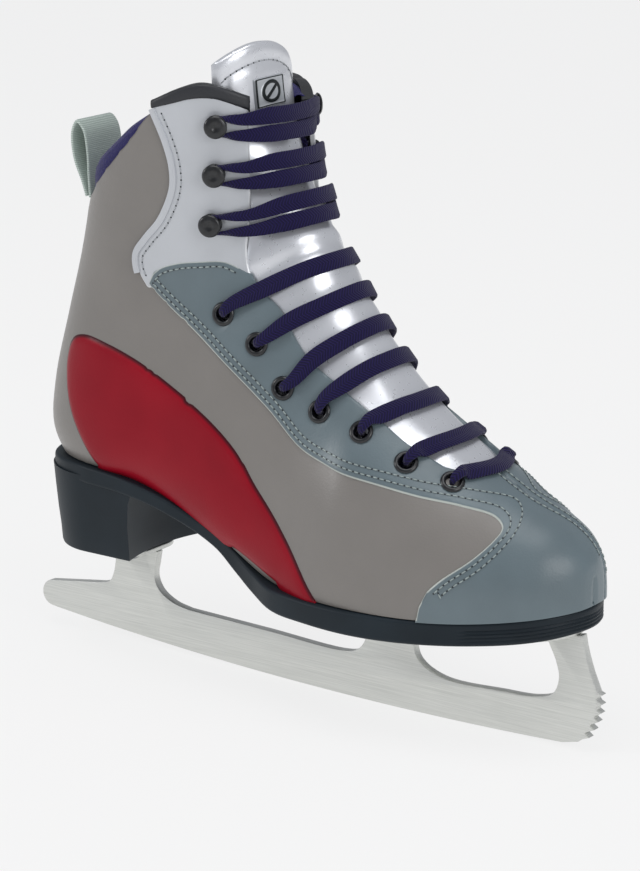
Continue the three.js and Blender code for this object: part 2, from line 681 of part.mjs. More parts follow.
function laceRoute() {
  const route = [];
  const depth = -insideDepth;
  eyeletSections.forEach((u, row) => {
    const from = row % 2 === 0 ? -1 : 1;
    if (row === 0) route.push(laceAt(u + 0.9, eyeletY(u), from, depth));
    route.push(...eyeletPass(u, from, row === 0 ? 1 : -1, false), ...eyeletBar(row, u, from));
    route.push(...eyeletPass(u, -from, 1, true));
    const next = eyeletSections[row + 1] ?? 15.6;
    route.push(laceAt(u + (next - u) * 0.5, eyeletY(u), -from, depth));
  });
  hookSections.forEach((u, row) => {
    const side = 1;
    const dip = 1 - 0.25 * row;
    const edge = throatHalf(u);
    const low = sectionShift(u, edge, side, -9.4);
    const beside = 3.1;
    const strand = (s, up, height, width = 5.4) => {
      const section = u - dip * Math.cos((Math.PI * s) / 2.3);
      const y = Math.abs(s) * hookY;
      const at = s > 0 ? side : -side;
      return laceAt(section + sectionShift(section, y, at, up * beside), y, at, height, width);
    };
    route.push(laceAt(u + low, edge + 3, side, depth, 5.4));
    route.push(laceAt(u + low, edge - 1.2, side, -4, 5.4));
    route.push(laceAt(u + low, edge - 3.4, side, -1.6, 5, 1.2, (seat) => seat.away.clone().negate()));
    route.push(laceAt(u + low, edge - 3, side, 0.9, 5, 1.2, (seat) => seat.out.clone().sub(seat.away)));
    route.push(laceAt(u + low * 0.85, edge + 0.5, side, 2, 4));
    route.push(...hookTurn(u, side, -1));
    route.push(...[0.78, 0.5, 0.25, 0, -0.25, -0.5, -0.78].map((s) => strand(s, 1, 2.35, Math.abs(s) > 0.7 ? 4 : 5.4)));
    route.push(...hookTurn(u, -side, 1));
    route.push(...[-0.78, -0.5, -0.25, 0, 0.25].map((s) => strand(s, -1, 2.35, Math.abs(s) > 0.7 ? 4 : 5.4)));
    const dive = sectionShift(u, edge, side, -beside) - dip * 0.45;
    route.push(laceAt(u + dive, edge - 4.2, side, 1.2, 5, 1.2, (seat) => seat.out.clone().add(seat.away)));
    route.push(laceAt(u + dive, edge - 3.6, side, -1.4, 5, 1.2, (seat) => seat.away));
    route.push(laceAt(u + dive, edge - 1.2, side, -4, 5.4, 1.2, (seat) => seat.out.clone().negate()));
  });
  return route;
}

function lace() {
  const route = laceRoute();
  const rings = route.map((step, i) => {
    const before = route[Math.max(i - 1, 0)].point;
    const after = route[Math.min(i + 1, route.length - 1)].point;
    const along = after.clone().sub(before).normalize();
    const face = step.face.clone().addScaledVector(along, -step.face.dot(along)).normalize();
    const sideways = along.clone().cross(face);
    const [w, t] = [step.width / 2, step.thickness / 2];
    return [[w, -t], [-w, -t], [-w, t], [w, t]].map(([a, b]) => {
      const p = step.point.clone().addScaledVector(sideways, a).addScaledVector(face, b);
      return [p.x, p.y, p.z];
    });
  });
  add("lace", loft(rings), materials.lace);
}

// ---- Sole and blade ----
const plan = [
  [-123, 0], [-118.5, -14.5], [-109, -24], [-95, -29], [-74, -30], [-52, -29], [-34, -27.5], [-18, -28],
  [-5, -32.5], [10, -40], [27, -43.5], [44, -44.5], [60, -43], [78, -39.5], [98, -33], [115, -25],
  [126.5, -14.5], [131.5, 0], [126, 17], [115, 27.5], [100, 35], [80, 40], [60, 42], [40, 40], [20, 35],
  [0, 28], [-20, 23], [-40, 22], [-60, 25], [-80, 28.5], [-100, 28.5], [-111.5, 23], [-119.5, 13],
];
const flat = (points) => points.map(([x, y]) => [across(x), y * widthScale]);
const plateUnder = gap + plateThickness;
const heelPlateUnder = heelBottom - plateUnder;
const screwShank = 3.8;
const screwDepth = 9;
const screwSpots = [
  ["heel", -105, 10], ["heel", -83, 10], ["sole", 36, 13], ["sole", 66, 15], ["sole", 98, 11],
];
const screwAt = (kind, x) => (kind === "heel" ? heelBottom : heightOn(soleUnder, across(x)));

function screws() {
  const made = [];
  for (const [kind, x, y] of screwSpots)
    for (const [name, side] of sides) made.push({ kind, name, x: across(x), y: side * y * widthScale, z: screwAt(kind, x) });
  return made;
}

function screwHole(screw) {
  const geometry = new THREE.CylinderGeometry(screwShank / 2 + gap, screwShank / 2 + gap, screwDepth + 8, 8);
  geometry.rotateX(Math.PI / 2);
  geometry.translate(screw.x, screw.y, screw.z + (screwDepth - 8) / 2 + gap);
  return solidOf(geometry);
}

function heelBlock() {
  const levels = [[heelBottom, 25.4, -120.2, -71.5], [upward(60), 27.2, -121.5, -71], [upward(78), 29.3, -123, -67]];
  const rings = levels.map(([z, half, back, breast]) => {
    const ring = [];
    for (let i = 0; i <= 14; i += 1) {
      const turn = Math.PI / 2 + (Math.PI * i) / 14;
      ring.push([back + half + Math.cos(turn) * half, Math.sin(turn) * half]);
    }
    for (const t of [-1, -0.6, -0.2, 0.2, 0.6, 1]) ring.push([breast - 4 * (1 - t * t), t * half]);
    return flat(ring).map(([x, y]) => [x, y, z]);
  });
  return solidOf(loft(rings));
}

function soleAndShank(holes) {
  const band = sidePrism([...soleUnder, ...[...seatLine].reverse()], -wide, wide);
  const outline = smooth(flat(plan), 46, true);
  const groove = (margin) => planPrism(flat([[-74 - margin, -6.5 - margin], [14 + margin, -6.5 - margin],
    [14 + margin, 6.5 + margin], [-74 - margin, 6.5 + margin]]), 0, 200);
  const sole = planPrism(outline, 0, 200).intersect(band).add(heelBlock());
  const cut = slab(seatLine, -1.6, 20).intersect(groove(gap));
  add("outsole", sole.subtract(cut).subtract(holes), materials.sole);
  add("shank", slab(seatLine, -1.3, -0.1).intersect(groove(0)), materials.steel);
}

function plates(holes) {
  const soleOutline = smooth(flat([[22, -14], [40, -20], [66, -22], [100, -17], [122, -9], [126, 0], [122, 9],
    [100, 17], [66, 22], [40, 20], [22, 14], [18, 0]]), 24, true);
  const solePlate = planPrism(soleOutline, 0, 200).intersect(slab(soleUnder, -plateUnder, -gap));
  add("sole_plate", solePlate.subtract(holes), materials.steel);
  const heelOutline = smooth(flat([[-114, -10], [-105, -17], [-84, -17], [-77, -10], [-76, 0], [-77, 10], [-84, 17],
    [-105, 17], [-114, 10], [-116, 0]]), 26, true);
  add("heel_plate", planPrism(heelOutline, heelPlateUnder, heelPlateUnder + plateThickness).subtract(holes), materials.steel);
}

function screwBodies(list) {
  const profile = [[0, -1.6], [screwHead / 2 - 1, -1.6], [screwHead / 2, -0.7], [screwHead / 2, 0], [screwShank / 2, 0],
    [screwShank / 2, plateThickness + screwDepth], [0, plateThickness + screwDepth + 0.8]];
  const points = profile.map(([r, h]) => new THREE.Vector2(r, h));
  list.forEach((screw, i) => {
    const geometry = new THREE.LatheGeometry(points, 8);
    geometry.rotateX(Math.PI / 2);
    geometry.translate(screw.x, screw.y, screw.z - plateUnder - 0.55);
    add(`${screw.kind}_screw_${screw.name}_${Math.floor(i / 2) + 1}`, geometry, materials.steel);
  });
}

const rockerRadius = 1760;
const rockerLow = 38;
const rocker = (x) => rockerRadius - Math.sqrt(rockerRadius ** 2 - (x - rockerLow) ** 2);

function bladeOutline() {
  const arc = (centre, radius, from, to, steps) => Array.from({ length: steps + 1 }, (_, i) => {
    const turn = ((from + ((to - from) * i) / steps) * Math.PI) / 180;
    return [centre[0] + radius * Math.cos(turn), centre[1] + radius * Math.sin(turn)];
  });
  const bottom = [];
  for (let x = -130; x <= 120; x += 12.5) bottom.push([x, rocker(x)]);
  const picks = [];
  for (let i = 0; i < 6; i += 1) {
    const t = i / 5.4;
    const bulge = 2.2 * Math.sin(Math.PI * t);
    const [x, z] = [129.6 + 5.2 * t + bulge, 5.2 + 18.6 * t];
    picks.push([x - 0.4, z], [x + 2.4 - 0.4 * t, z + 1 + 0.9 * t], [x + 0.2, z + 2.5]);
  }
  const tail = arc([-132.6, 14], 5.6, 265, 95, 8);
  const rearStanchion = smooth([[-106.3, 23.6], [-101.5, 25.2], [-99.2, 29.5], [-98, 36], [-97.5, 50]], 8);
  const rearWindow = smooth([[-74.2, 50], [-76.6, 38], [-77.6, 31.5], [-75, 26], [-68, 21.9], [-60, 20.3]], 9);
  const midLeft = smooth([[-20.2, 19.3], [17, 18.3], [24, 19.8], [28, 24], [29.5, 31], [29.5, 60]], 12);
  const frontWindow = smooth([[51, 60], [51.2, 29], [54, 21.6], [64.8, 16.6], [92.4, 16.9], [108, 18],
    [115.6, 21], [118, 27.5], [116.6, 34], [112, 44], [110, 60]], 22);
  const front = [[126, 60], [128.6, 42.6], [131.6, 33], [134, 27.4]];
  const outline = [...bottom, [127, 3.6], ...picks, ...front.reverse(), ...frontWindow.reverse(), ...midLeft.reverse(),
    ...rearWindow.reverse(), ...rearStanchion.reverse(), ...tail.reverse()];
  return outline.map(([x, z]) => [across(x), z]);
}

function blade() {
  const half = bladeThickness / 2;
  const plate = sidePrism(bladeOutline(), -half, half);
  const head = heelPlateUnder - gap;
  const underHeel = [[-wide * 2, -10], [0, -10], [0, head], [-wide * 2, head]];
  const underSole = [[0, -10], [wide * 2, -10], ...lifted(soleUnder.filter((p) => p[0] > 0), -plateUnder - gap).reverse()];
  const underMiddle = soleUnder.find((p) => p[0] > 0)[1];
  const room = sidePrism(underHeel, -wide, wide).add(sidePrism([...underSole, [0, underMiddle - plateUnder - gap]], -wide, wide));
  add("blade", plate.intersect(room), materials.steel);
}

upperPanels();
redPanels();
backstay();
pullLoop();
stiffeners();
paddedLining();
underFoot();
tongue();
tongueLabel();
eyelets();
hooks();
lace();
const screwList = screws();
const screwHoles = screwList.map(screwHole).reduce((all, next) => all.add(next));
soleAndShank(screwHoles);
plates(screwHoles);
screwBodies(screwList);
blade();

export default group;
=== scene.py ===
import math

import bmesh
import bpy
import numpy as np
from mathutils import Matrix, Vector
from mathutils.kdtree import KDTree


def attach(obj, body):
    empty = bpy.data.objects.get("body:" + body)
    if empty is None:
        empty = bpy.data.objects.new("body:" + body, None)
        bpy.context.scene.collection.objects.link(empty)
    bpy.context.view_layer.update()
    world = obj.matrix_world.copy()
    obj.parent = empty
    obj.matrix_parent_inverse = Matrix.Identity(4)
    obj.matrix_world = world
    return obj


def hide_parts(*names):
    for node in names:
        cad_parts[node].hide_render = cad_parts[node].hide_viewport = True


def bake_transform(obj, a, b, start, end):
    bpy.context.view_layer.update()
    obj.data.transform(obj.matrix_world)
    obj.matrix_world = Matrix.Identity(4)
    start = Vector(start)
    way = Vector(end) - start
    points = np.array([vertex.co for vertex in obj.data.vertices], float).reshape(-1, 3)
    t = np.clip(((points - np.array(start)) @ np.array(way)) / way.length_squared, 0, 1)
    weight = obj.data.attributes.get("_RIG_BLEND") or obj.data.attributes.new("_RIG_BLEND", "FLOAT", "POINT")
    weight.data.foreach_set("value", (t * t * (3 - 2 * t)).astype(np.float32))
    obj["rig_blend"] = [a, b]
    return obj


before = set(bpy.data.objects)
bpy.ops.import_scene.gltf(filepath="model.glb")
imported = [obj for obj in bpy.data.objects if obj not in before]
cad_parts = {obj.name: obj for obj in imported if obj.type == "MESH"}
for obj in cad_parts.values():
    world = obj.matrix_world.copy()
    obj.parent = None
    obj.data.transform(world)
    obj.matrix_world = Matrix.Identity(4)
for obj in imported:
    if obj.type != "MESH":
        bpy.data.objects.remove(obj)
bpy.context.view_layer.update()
mm = 0.001

# ---- Studio ----
# A pale floor under the skate, soft overhead and side light, and a camera a little above
# the boot, on its outer side and towards the toe.
bpy.ops.object.select_all(action="DESELECT")
bpy.ops.mesh.primitive_plane_add(size=6, location=(0, 0, -0.0004))
floor = bpy.context.object
floor.name = "studio_floor"
floor_paint = bpy.data.materials.new("studio_floor")
floor_paint.use_nodes = True
for key, value in (("Base Color", (0.12, 0.12, 0.12, 1)), ("Roughness", 0.95),
                   ("Emission Color", (1, 1, 1, 1)),
                   ("Emission Strength", 0.79)):
    floor_paint.node_tree.nodes["Principled BSDF"].inputs[key].default_value = value
floor.data.materials.append(floor_paint)

sky = bpy.data.worlds.new("studio_air")
sky.use_nodes = True
sky.node_tree.nodes["Background"].inputs["Color"].default_value = (0.93, 0.95, 1, 1)
sky.node_tree.nodes["Background"].inputs["Strength"].default_value = 0.42
bpy.context.scene.world = sky
bpy.context.scene.view_settings.view_transform = "Standard"

middle = Vector((0.0053, 0, 0.1047))
for name, place, size, power in (
    ("top_panel", (0.15, -0.25, 1.5), 1.0, 8),
    ("front_panel", (1.5, -0.5, 0.75), 0.7, 7),
    ("heel_panel", (-1.1, -1.0, 0.7), 0.35, 5),
):
    bpy.ops.object.light_add(type="AREA", location=place)
    lamp = bpy.context.object
    lamp.name = name
    lamp.data.size = size
    lamp.data.energy = power
    lamp.rotation_euler = (middle - lamp.location).to_track_quat("-Z", "Y").to_euler()

turn_round, height_up, distance = math.radians(35.5), math.radians(15.3), 1.263
view_from = Vector((
    math.sin(turn_round) * math.cos(height_up), -math.cos(turn_round) * math.cos(height_up),
    math.sin(height_up)))
bpy.ops.object.camera_add(location=middle + view_from * distance)
camera = bpy.context.object
camera.rotation_euler = (-view_from).to_track_quat("-Z", "Y").to_euler()
camera.data.sensor_width = 36
camera.data.lens = 132.6
bpy.context.scene.camera = camera

# ---- Quarters ----
# The two grey sides of the boot, cut from smooth coated leather 1.6 mm thick, pulled over the last and
# closed up the back. They run on under the toe piece and the cuffs, which are stitched over them.
# The boot's form is a fan of flat sections from the toe over the foot and up the leg: under the foot or
# behind the leg (x, z), on top (x, z), outer and inner half width, height of the widest place, squareness.
last = np.array([
    [131, 48, 131, 69, 1.5, 1.5, 0.42, 3, 3], [129.8, 47.6, 129.7, 75, 8, 10, 0.4, 4, 2.6],
    [125.8, 47, 125.6, 81, 15, 17.5, 0.36, 5, 2.3], [119.6, 46.5, 119, 86.5, 21.5, 24.5, 0.34, 6, 2.2],
    [111, 46, 110, 91.5, 27, 29.5, 0.32, 6, 2.1], [101, 45.5, 100, 97, 31.5, 34, 0.32, 6, 2],
    [88, 45, 89, 103.5, 36.3, 38, 0.32, 6, 2], [70, 44.5, 75, 112, 40.8, 41, 0.32, 6, 1.95],
    [50, 44.5, 62, 121, 43, 41, 0.32, 6, 1.9], [28, 44.5, 50, 132, 42.5, 37.5, 0.34, 5.5, 1.9],
    [6, 44.5, 40, 143.5, 37.5, 34, 0.37, 4.5, 1.9], [-16, 50, 31, 155, 34, 33, 0.42, 3.4, 1.9],
    [-42, 62, 23, 166, 34, 34, 0.46, 3, 1.9], [-72, 73, 17, 175, 34.5, 34.5, 0.48, 2.9, 2],
    [-103, 74, 12, 183, 35, 35, 0.46, 2.8, 2], [-119.5, 88, 8, 190, 35, 35, 0.43, 2.5, 2.1],
    [-120.5, 110, 4, 199, 35, 35, 0.42, 2.2, 2.2], [-112.5, 140, -1, 210, 36, 36, 0.45, 2.1, 2.2],
    [-104, 168, -5, 222, 37, 37, 0.48, 2.1, 2.2], [-98, 195, -8, 236, 38, 38, 0.5, 2.1, 2.2],
    [-94, 225, -10, 254, 39, 39, 0.5, 2.1, 2.2], [-92, 250, -12, 270, 39, 39, 0.5, 2.1, 2.2],
])
top_section = len(last) - 1


def section(u):
    i = np.clip(np.floor(u).astype(int), 0, top_section - 1)
    t = (u - i)[..., None]
    a, b, d, e = (last[np.clip(i + k, 0, top_section)] for k in (-1, 0, 1, 2))
    return b + 0.5 * t * (d - a + t * (2 * a - 5 * b + 4 * d - e + t * (3 * (b - d) + e - a)))


def boot(u, turn, depth=0.0):
    """Points of the boot in metres: turn runs from under the foot by the outer side to the top and back by
    the inner side, and depth is in mm below the leather's face."""
    u, turn, depth = np.broadcast_arrays(np.asarray(u, float), np.asarray(turn, float),
                                         np.asarray(depth, float))
    xb, zb, xf, zf, outer_half, inner_half, belly, low, high = np.moveaxis(section(u), -1, 0)
    length = np.hypot(xf - xb, zf - zb)
    dx, dz = (xf - xb) / length, (zf - zb) / length
    shut = [np.where(x > 92, 92 + (x - 92) * (1 - depth / 39), x) for x in (xb + dx * depth, xf - dx * depth)]
    zb, zf = zb + dz * depth, zf - dz * depth
    outer = turn <= math.pi
    half = np.where(outer, outer_half, inner_half)
    width = half - depth * np.minimum(1, half / 34)
    phi = np.where(outer, turn, 2 * math.pi - turn)
    c = np.cos(phi)
    power = 2 / np.where(c > 0, low, high)
    rise = np.abs(c) ** power
    share = np.where(c > 0, belly * (1 - rise), belly + (1 - belly) * rise)
    y = np.where(outer, -1, 1) * width * np.abs(np.sin(phi)) ** power
    return np.stack([shut[0] + (shut[1] - shut[0]) * share, y, zb + (zf - zb) * share], -1) * mm


def facing(u, turn):
    """The direction out of the leather."""
    step = 1e-3
    along_u = boot(u + step, turn) - boot(u - step, turn)
    along_turn = boot(u, turn + step) - boot(u, turn - step)
    out = np.cross(along_turn, along_u)
    return out / np.maximum(np.linalg.norm(out, axis=-1, keepdims=True), 1e-12)


def turn_at(u, y, side):
    """Where the top of a section is y mm from the middle."""
    row = section(np.asarray(u, float))
    half, high = row[..., 4 if side < 0 else 5], row[..., 8]
    phi = math.pi - np.arcsin(np.minimum(np.asarray(y, float) / half, 0.999) ** (high / 2))
    return phi if side < 0 else 2 * math.pi - phi
def turns_across(u, y):
    """turn_at for several points, where y runs from the outer side, below zero, to the inner one."""
    return np.array([turn_at(np.array([p]), np.array([abs(q)]), -1 if q < 0 else 1)[0] for p, q in zip(u, y)])


def turn_on(side, share):
    """The turn on one side of the boot, for a share from 0 under the foot to 1 on top."""
    start = 0.0 if side < 0 else 2 * math.pi
    return start + (math.pi - start) * share
def flowing(points, step=1.0, closed=False):
    """A smooth line through a few points, with a point about every step."""
    p = np.array(points, float)
    n = len(p)
    found = []
    for i in range(n if closed else n - 1):
        if closed:
            a, b, d, e = (p[(i + k) % n] for k in (-1, 0, 1, 2))
        else:
            a, b, d, e = (p[min(max(i + k, 0), n - 1)] for k in (-1, 0, 1, 2))
        # knots spaced by the square root of distance keep the line from looping
        t0 = 0.0
        t1 = t0 + max(np.linalg.norm(b - a), 1e-9) ** 0.5
        t2 = t1 + np.linalg.norm(d - b) ** 0.5
        t3 = t2 + max(np.linalg.norm(e - d), 1e-9) ** 0.5
        if t1 - t0 < 1e-3:
            a, t1, t2, t3 = 2 * b - d, t2 - t1, 2 * (t2 - t1), t3 - t1 + (t2 - t1)
        if t3 - t2 < 1e-3:
            e, t3 = 2 * d - b, t2 + (t2 - t1)
        count = max(int(np.linalg.norm(d - b) / step), 1)
        for t in np.linspace(t1, t2, count, endpoint=False):
            a1 = (t1 - t) / (t1 - t0) * a + (t - t0) / (t1 - t0) * b
            a2 = (t2 - t) / (t2 - t1) * b + (t - t1) / (t2 - t1) * d
            a3 = (t3 - t) / (t3 - t2) * d + (t - t2) / (t3 - t2) * e
            b1 = (t2 - t) / (t2 - t0) * a1 + (t - t0) / (t2 - t0) * a2
            b2 = (t3 - t) / (t3 - t1) * a2 + (t - t1) / (t3 - t1) * a3
            found.append((t2 - t) / (t2 - t1) * b1 + (t - t1) / (t2 - t1) * b2)
    if not closed:
        found.append(p[-1])
    return np.array(found)


def beyond(outline, x, z):
    """How far side-view points are outside a closed outline, in its units; negative inside."""
    a, b = outline, np.roll(outline, -1, axis=0)
    d = b - a
    px, pz = x[:, None] - a[None, :, 0], z[:, None] - a[None, :, 1]
    t = np.clip((px * d[:, 0] + pz * d[:, 1]) / np.maximum((d ** 2).sum(1), 1e-12), 0, 1)
    away = np.sqrt((px - t * d[:, 0]) ** 2 + (pz - t * d[:, 1]) ** 2).min(1)
    crosses = (a[None, :, 1] > z[:, None]) != (b[None, :, 1] > z[:, None])
    slope = d[:, 0] / np.where(np.abs(d[:, 1]) < 1e-12, 1e-12, d[:, 1])
    inside = (crosses & (x[:, None] < a[None, :, 0] + (z[:, None] - a[None, :, 1]) * slope)).sum(1) % 2 == 1
    return np.where(inside, -away, away)


seat_line = flowing([
    (-136, 82.5), (-122, 83), (-100, 83.5), (-74, 81.5), (-54, 77), (-36, 70), (-26, 65.5), (-9, 56.5),
    (5, 53), (24, 52), (62, 52), (79, 52.5), (99, 54), (115, 56), (132, 58.5), (142, 60)])
throat_table = np.array([
    (6.1, 0.5), (6.25, 9), (6.6, 14), (6.95, 17), (8.1, 20.3), (9.25, 22), (10.65, 22.5), (11.7, 24),
    (13.4, 24.2), (14.85, 24.4), (15.65, 24), (16.95, 22), (18.25, 20.9), (19.25, 19.9), (21, 19.5)])
vamp_low_line = [
    (-52.6, 165), (-43.1, 156.8), (-29, 146.6), (-13.2, 135.1), (2, 123.3), (18.2, 109.8),
    (35, 104.5), (54.5, 101), (72, 97.8), (87, 95.2), (98.7, 91.6), (102.6, 88), (101.5, 84.5),
    (96.5, 78), (85.6, 68.8), (80, 62), (76.7, 48)]
vamp_top_line = [(-7, 171), (-12, 173), (-20, 176.3), (-29.8, 175.7), (-39.2, 174.3), (-47.6, 171),
                 (-52.6, 165)]
cuff_rear_line = [
    (-45.9, 236), (-40.3, 222.6), (-38, 212.6), (-38.5, 203.5), (-44.2, 191), (-51.8, 182.3),
    (-56.3, 176.2), (-56, 169), (-52.6, 163)]
cuff_top_line = [(-8, 232), (-14, 236.5), (-18.9, 239.2), (-23.2, 240.8), (-30.1, 240.6), (-37.2, 238.5),
                 (-45.9, 236)]
collar_line = [(-28, 200), (-39, 224), (-45.4, 233.3), (-58.5, 220.8), (-68.7, 211.5), (-80.8, 201),
               (-92, 192), (-112, 189)]
sides = (("outer", -1), ("inner", 1))


def throat_reach(u):
    """Half the width of the throat at a section, in mm."""
    return np.interp(u, throat_table[:, 0], throat_table[:, 1])


def only(piece):
    """Selects one piece and nothing else."""
    bpy.ops.object.select_all(action="DESELECT")
    bpy.context.view_layer.objects.active = piece
    piece.select_set(True)


def smooth_off(piece, degrees=40):
    """Shades a piece smooth, except across edges sharper than this."""
    only(piece)
    bpy.ops.object.shade_smooth_by_angle(angle=math.radians(degrees))


def in_edit_mode(piece, *steps):
    """Runs mesh tools one after the other, each on the whole piece."""
    only(piece)
    bpy.ops.object.mode_set(mode="EDIT")
    for step in steps:
        bpy.ops.mesh.select_all(action="SELECT")
        step()
    bpy.ops.object.mode_set(mode="OBJECT")


def merge():
    bpy.ops.mesh.remove_doubles(threshold=0.00001)


def face_out():
    bpy.ops.mesh.normals_make_consistent(inside=False)


def new_piece(name, points, edges, faces):
    """A new object from points in metres."""
    mesh = bpy.data.meshes.new(name)
    mesh.from_pydata(points, edges, faces)
    piece = bpy.data.objects.new(name, mesh)
    bpy.context.collection.objects.link(piece)
    return piece


def copy_of(model, name, place):
    """A copy of a model, moved to its place by a matrix."""
    piece = bpy.data.objects.new(name, model.data.copy())
    bpy.context.collection.objects.link(piece)
    piece.data.transform(place)
    return piece


def laid_grid(name, rows, columns, place):
    """A fine sheet laid on the boot: place turns its two shares, 0 to 1, into section and turn."""
    bpy.ops.object.select_all(action="DESELECT")
    bpy.ops.mesh.primitive_grid_add(x_subdivisions=columns, y_subdivisions=rows, size=2)
    piece = bpy.context.object
    piece.name = piece.data.name = name
    flat = np.empty(len(piece.data.vertices) * 3)
    piece.data.vertices.foreach_get("co", flat)
    share = flat.reshape(-1, 3)[:, :2] * 0.5 + 0.5
    u, turn = place(share[:, 0], share[:, 1])
    for key, values in (("section", u), ("turn", turn)):
        piece.data.attributes.new(key, "FLOAT", "POINT").data.foreach_set("value", values.astype(np.float32))
    reshape(piece)
    return piece


def read(piece, key):
    values = np.empty(len(piece.data.vertices), np.float32)
    piece.data.attributes[key].data.foreach_get("value", values)
    return values.astype(float)


def write(piece, key, values):
    attribute = piece.data.attributes.get(key) or piece.data.attributes.new(key, "FLOAT", "POINT")
    attribute.data.foreach_set("value", np.asarray(values, np.float32))


def reshape(piece, depth=0.0):
    """Moves every point to its section and turn, at a depth in mm."""
    points = boot(read(piece, "section"), read(piece, "turn"), depth)
    piece.data.vertices.foreach_set("co", points.astype(np.float32).ravel())
    piece.data.update()


def crossings(edges, lay_u, lay_turn, outside, value):
    """How far along each edge the cut runs, found by halving, as the surface isn't even along an edge."""
    if not edges:
        return []
    ends = np.array([[[v[lay_u], v[lay_turn]] for v in e.verts] for e in edges])
    first = np.array([value[e.verts[0]] for e in edges]) > 0
    low, high = np.zeros(len(edges)), np.ones(len(edges))
    for _ in range(10):
        t = (low + high) / 2
        u, turn = (ends[:, 0] + (ends[:, 1] - ends[:, 0]) * t[:, None]).T
        same = (np.asarray(outside(*(boot(u, turn) / mm).T, u, turn), float) > 0) == first
        low, high = np.where(same, t, low), np.where(same, high, t)
    return (low + high) / 2


def trim(piece, outside, keep=False):
    """Cuts the sheet along the line where outside(x, y, z, u, turn), in mm, is zero, and drops what is beyond it.
    With keep, the cut is only a crease line and nothing is dropped."""
    u, turn = read(piece, "section"), read(piece, "turn")
    x, y, z = (boot(u, turn) / mm).T
    worth = np.asarray(outside(x, y, z, u, turn), float)
    bm = bmesh.new()
    bm.from_mesh(piece.data)
    bm.verts.ensure_lookup_table()
    lay_u, lay_turn = (bm.verts.layers.float[k] for k in ("section", "turn"))
    value = {v: worth[v.index] for v in bm.verts}
    for attempt in range(2):
        if attempt:
            torn = [f for f in bm.faces if min(value[v] for v in f.verts) < 0 < max(value[v]
                for v in f.verts)]
            bmesh.ops.triangulate(bm, faces=torn)
        crossed = [e for e in bm.edges if value[e.verts[0]] * value[e.verts[1]] < 0]
        for e, t in zip(crossed, crossings(crossed, lay_u, lay_turn, outside, value)):
            a, b = e.verts
            if value[a] == 0 or value[b] == 0:
                continue
            mid_u, mid_turn = (a[k] + (b[k] - a[k]) * t for k in (lay_u, lay_turn))
            near = a if t < 0.12 and not attempt else b if t > 0.88 and not attempt else None
            if near is None:
                old = tuple(a.co + (b.co - a.co) * t)
                near = bmesh.utils.edge_split(e, a, t)[1]
                near.co = old
            near[lay_u], near[lay_turn] = mid_u, mid_turn
            value[near] = 0.0
        bmesh.ops.connect_verts(bm, verts=[v for v in bm.verts if value[v] == 0.0])
    if not keep:
        faces = bm.faces[:]
        mid = [[sum(v[k] for v in f.verts) / len(f.verts) for k in (lay_u, lay_turn)] for f in faces]
        mid_u, mid_turn = np.array(mid).T
        past = np.asarray(outside(*(boot(mid_u, mid_turn) / mm).T, mid_u, mid_turn), float) > 0
        gone = [f for f, over in zip(faces, past) if over]
        bmesh.ops.delete(bm, geom=gone, context="FACES")
    bm.to_mesh(piece.data)
    bm.free()
    reshape(piece)


def free_edges(piece, wanted=lambda p: True):
    """Points along the sheet's open edges, close together."""
    bm = bmesh.new()
    bm.from_mesh(piece.data)
    found = []
    for e in bm.edges:
        if e.is_boundary:
            a, b = e.verts[0].co, e.verts[1].co
            if not wanted((a + b) / 2):
                continue
            for k in range(4):
                found.append(a.lerp(b, k / 4))
    bm.free()
    return found


def from_edge(piece, wanted=lambda p: True):
    """Each point's distance to the sheet's cut edge, in mm, kept as the attribute edge."""
    tree_points = free_edges(piece, wanted)
    tree = KDTree(len(tree_points))
    for i, p in enumerate(tree_points):
        tree.insert(p, i)
    tree.balance()
    away = np.array([tree.find(v.co)[2] / mm for v in piece.data.vertices])
    write(piece, "edge", away)
    return away


def rolled(away, reach, drop):
    """How much lower a rounded edge lies, by the distance from it."""
    t = np.clip(1 - away / reach, 0, 1)
    return drop * (1 - np.sqrt(np.maximum(1 - t * t, 0)))


def thicken(piece, thickness):
    """Turns the sheet into a closed piece of leather, and shades it smooth with crisp cut edges."""
    bm = bmesh.new()
    bm.from_mesh(piece.data)
    lay_u, lay_turn = (bm.verts.layers.float[k] for k in ("section", "turn"))
    rim = [(next(k.vert for k in e.link_faces[0].loops if k.edge == e), e)
           for e in bm.edges if len(e.link_faces) == 1]
    copied = bmesh.ops.duplicate(bm, geom=bm.verts[:] + bm.edges[:] + bm.faces[:])
    twin = copied["vert_map"]
    inner = [v for v in copied["geom"] if isinstance(v, bmesh.types.BMVert)]
    away = facing(np.array([v[lay_u] for v in inner]), np.array([v[lay_turn] for v in inner]))
    for v, out in zip(inner, away):
        v.co -= Vector(out) * (thickness * mm)
    bmesh.ops.reverse_faces(bm, faces=[f for f in copied["geom"] if isinstance(f, bmesh.types.BMFace)])
    for first, e in rim:
        second = e.other_vert(first)
        bm.faces.new((second, first, twin[first], twin[second]))
    bm.to_mesh(piece.data)
    bm.free()
    smooth_off(piece)


def outward(piece):
    """Points the sheet's faces out of the boot."""
    bm = bmesh.new()
    bm.from_mesh(piece.data)
    lay_u, lay_turn = (bm.verts.layers.float[k] for k in ("section", "turn"))
    f = max(bm.faces, key=lambda face: face.calc_area())
    v = f.verts[0]
    out = facing(np.array([v[lay_u]]), np.array([v[lay_turn]]))[0]
    if f.normal.dot(Vector(out)) < 0:
        bmesh.ops.reverse_faces(bm, faces=bm.faces[:])
    bm.to_mesh(piece.data)
    bm.free()


def above_seat(by=0.4):
    return lambda x, y, z, u, turn: np.interp(x, seat_line[:, 0], seat_line[:, 1]) + by - z


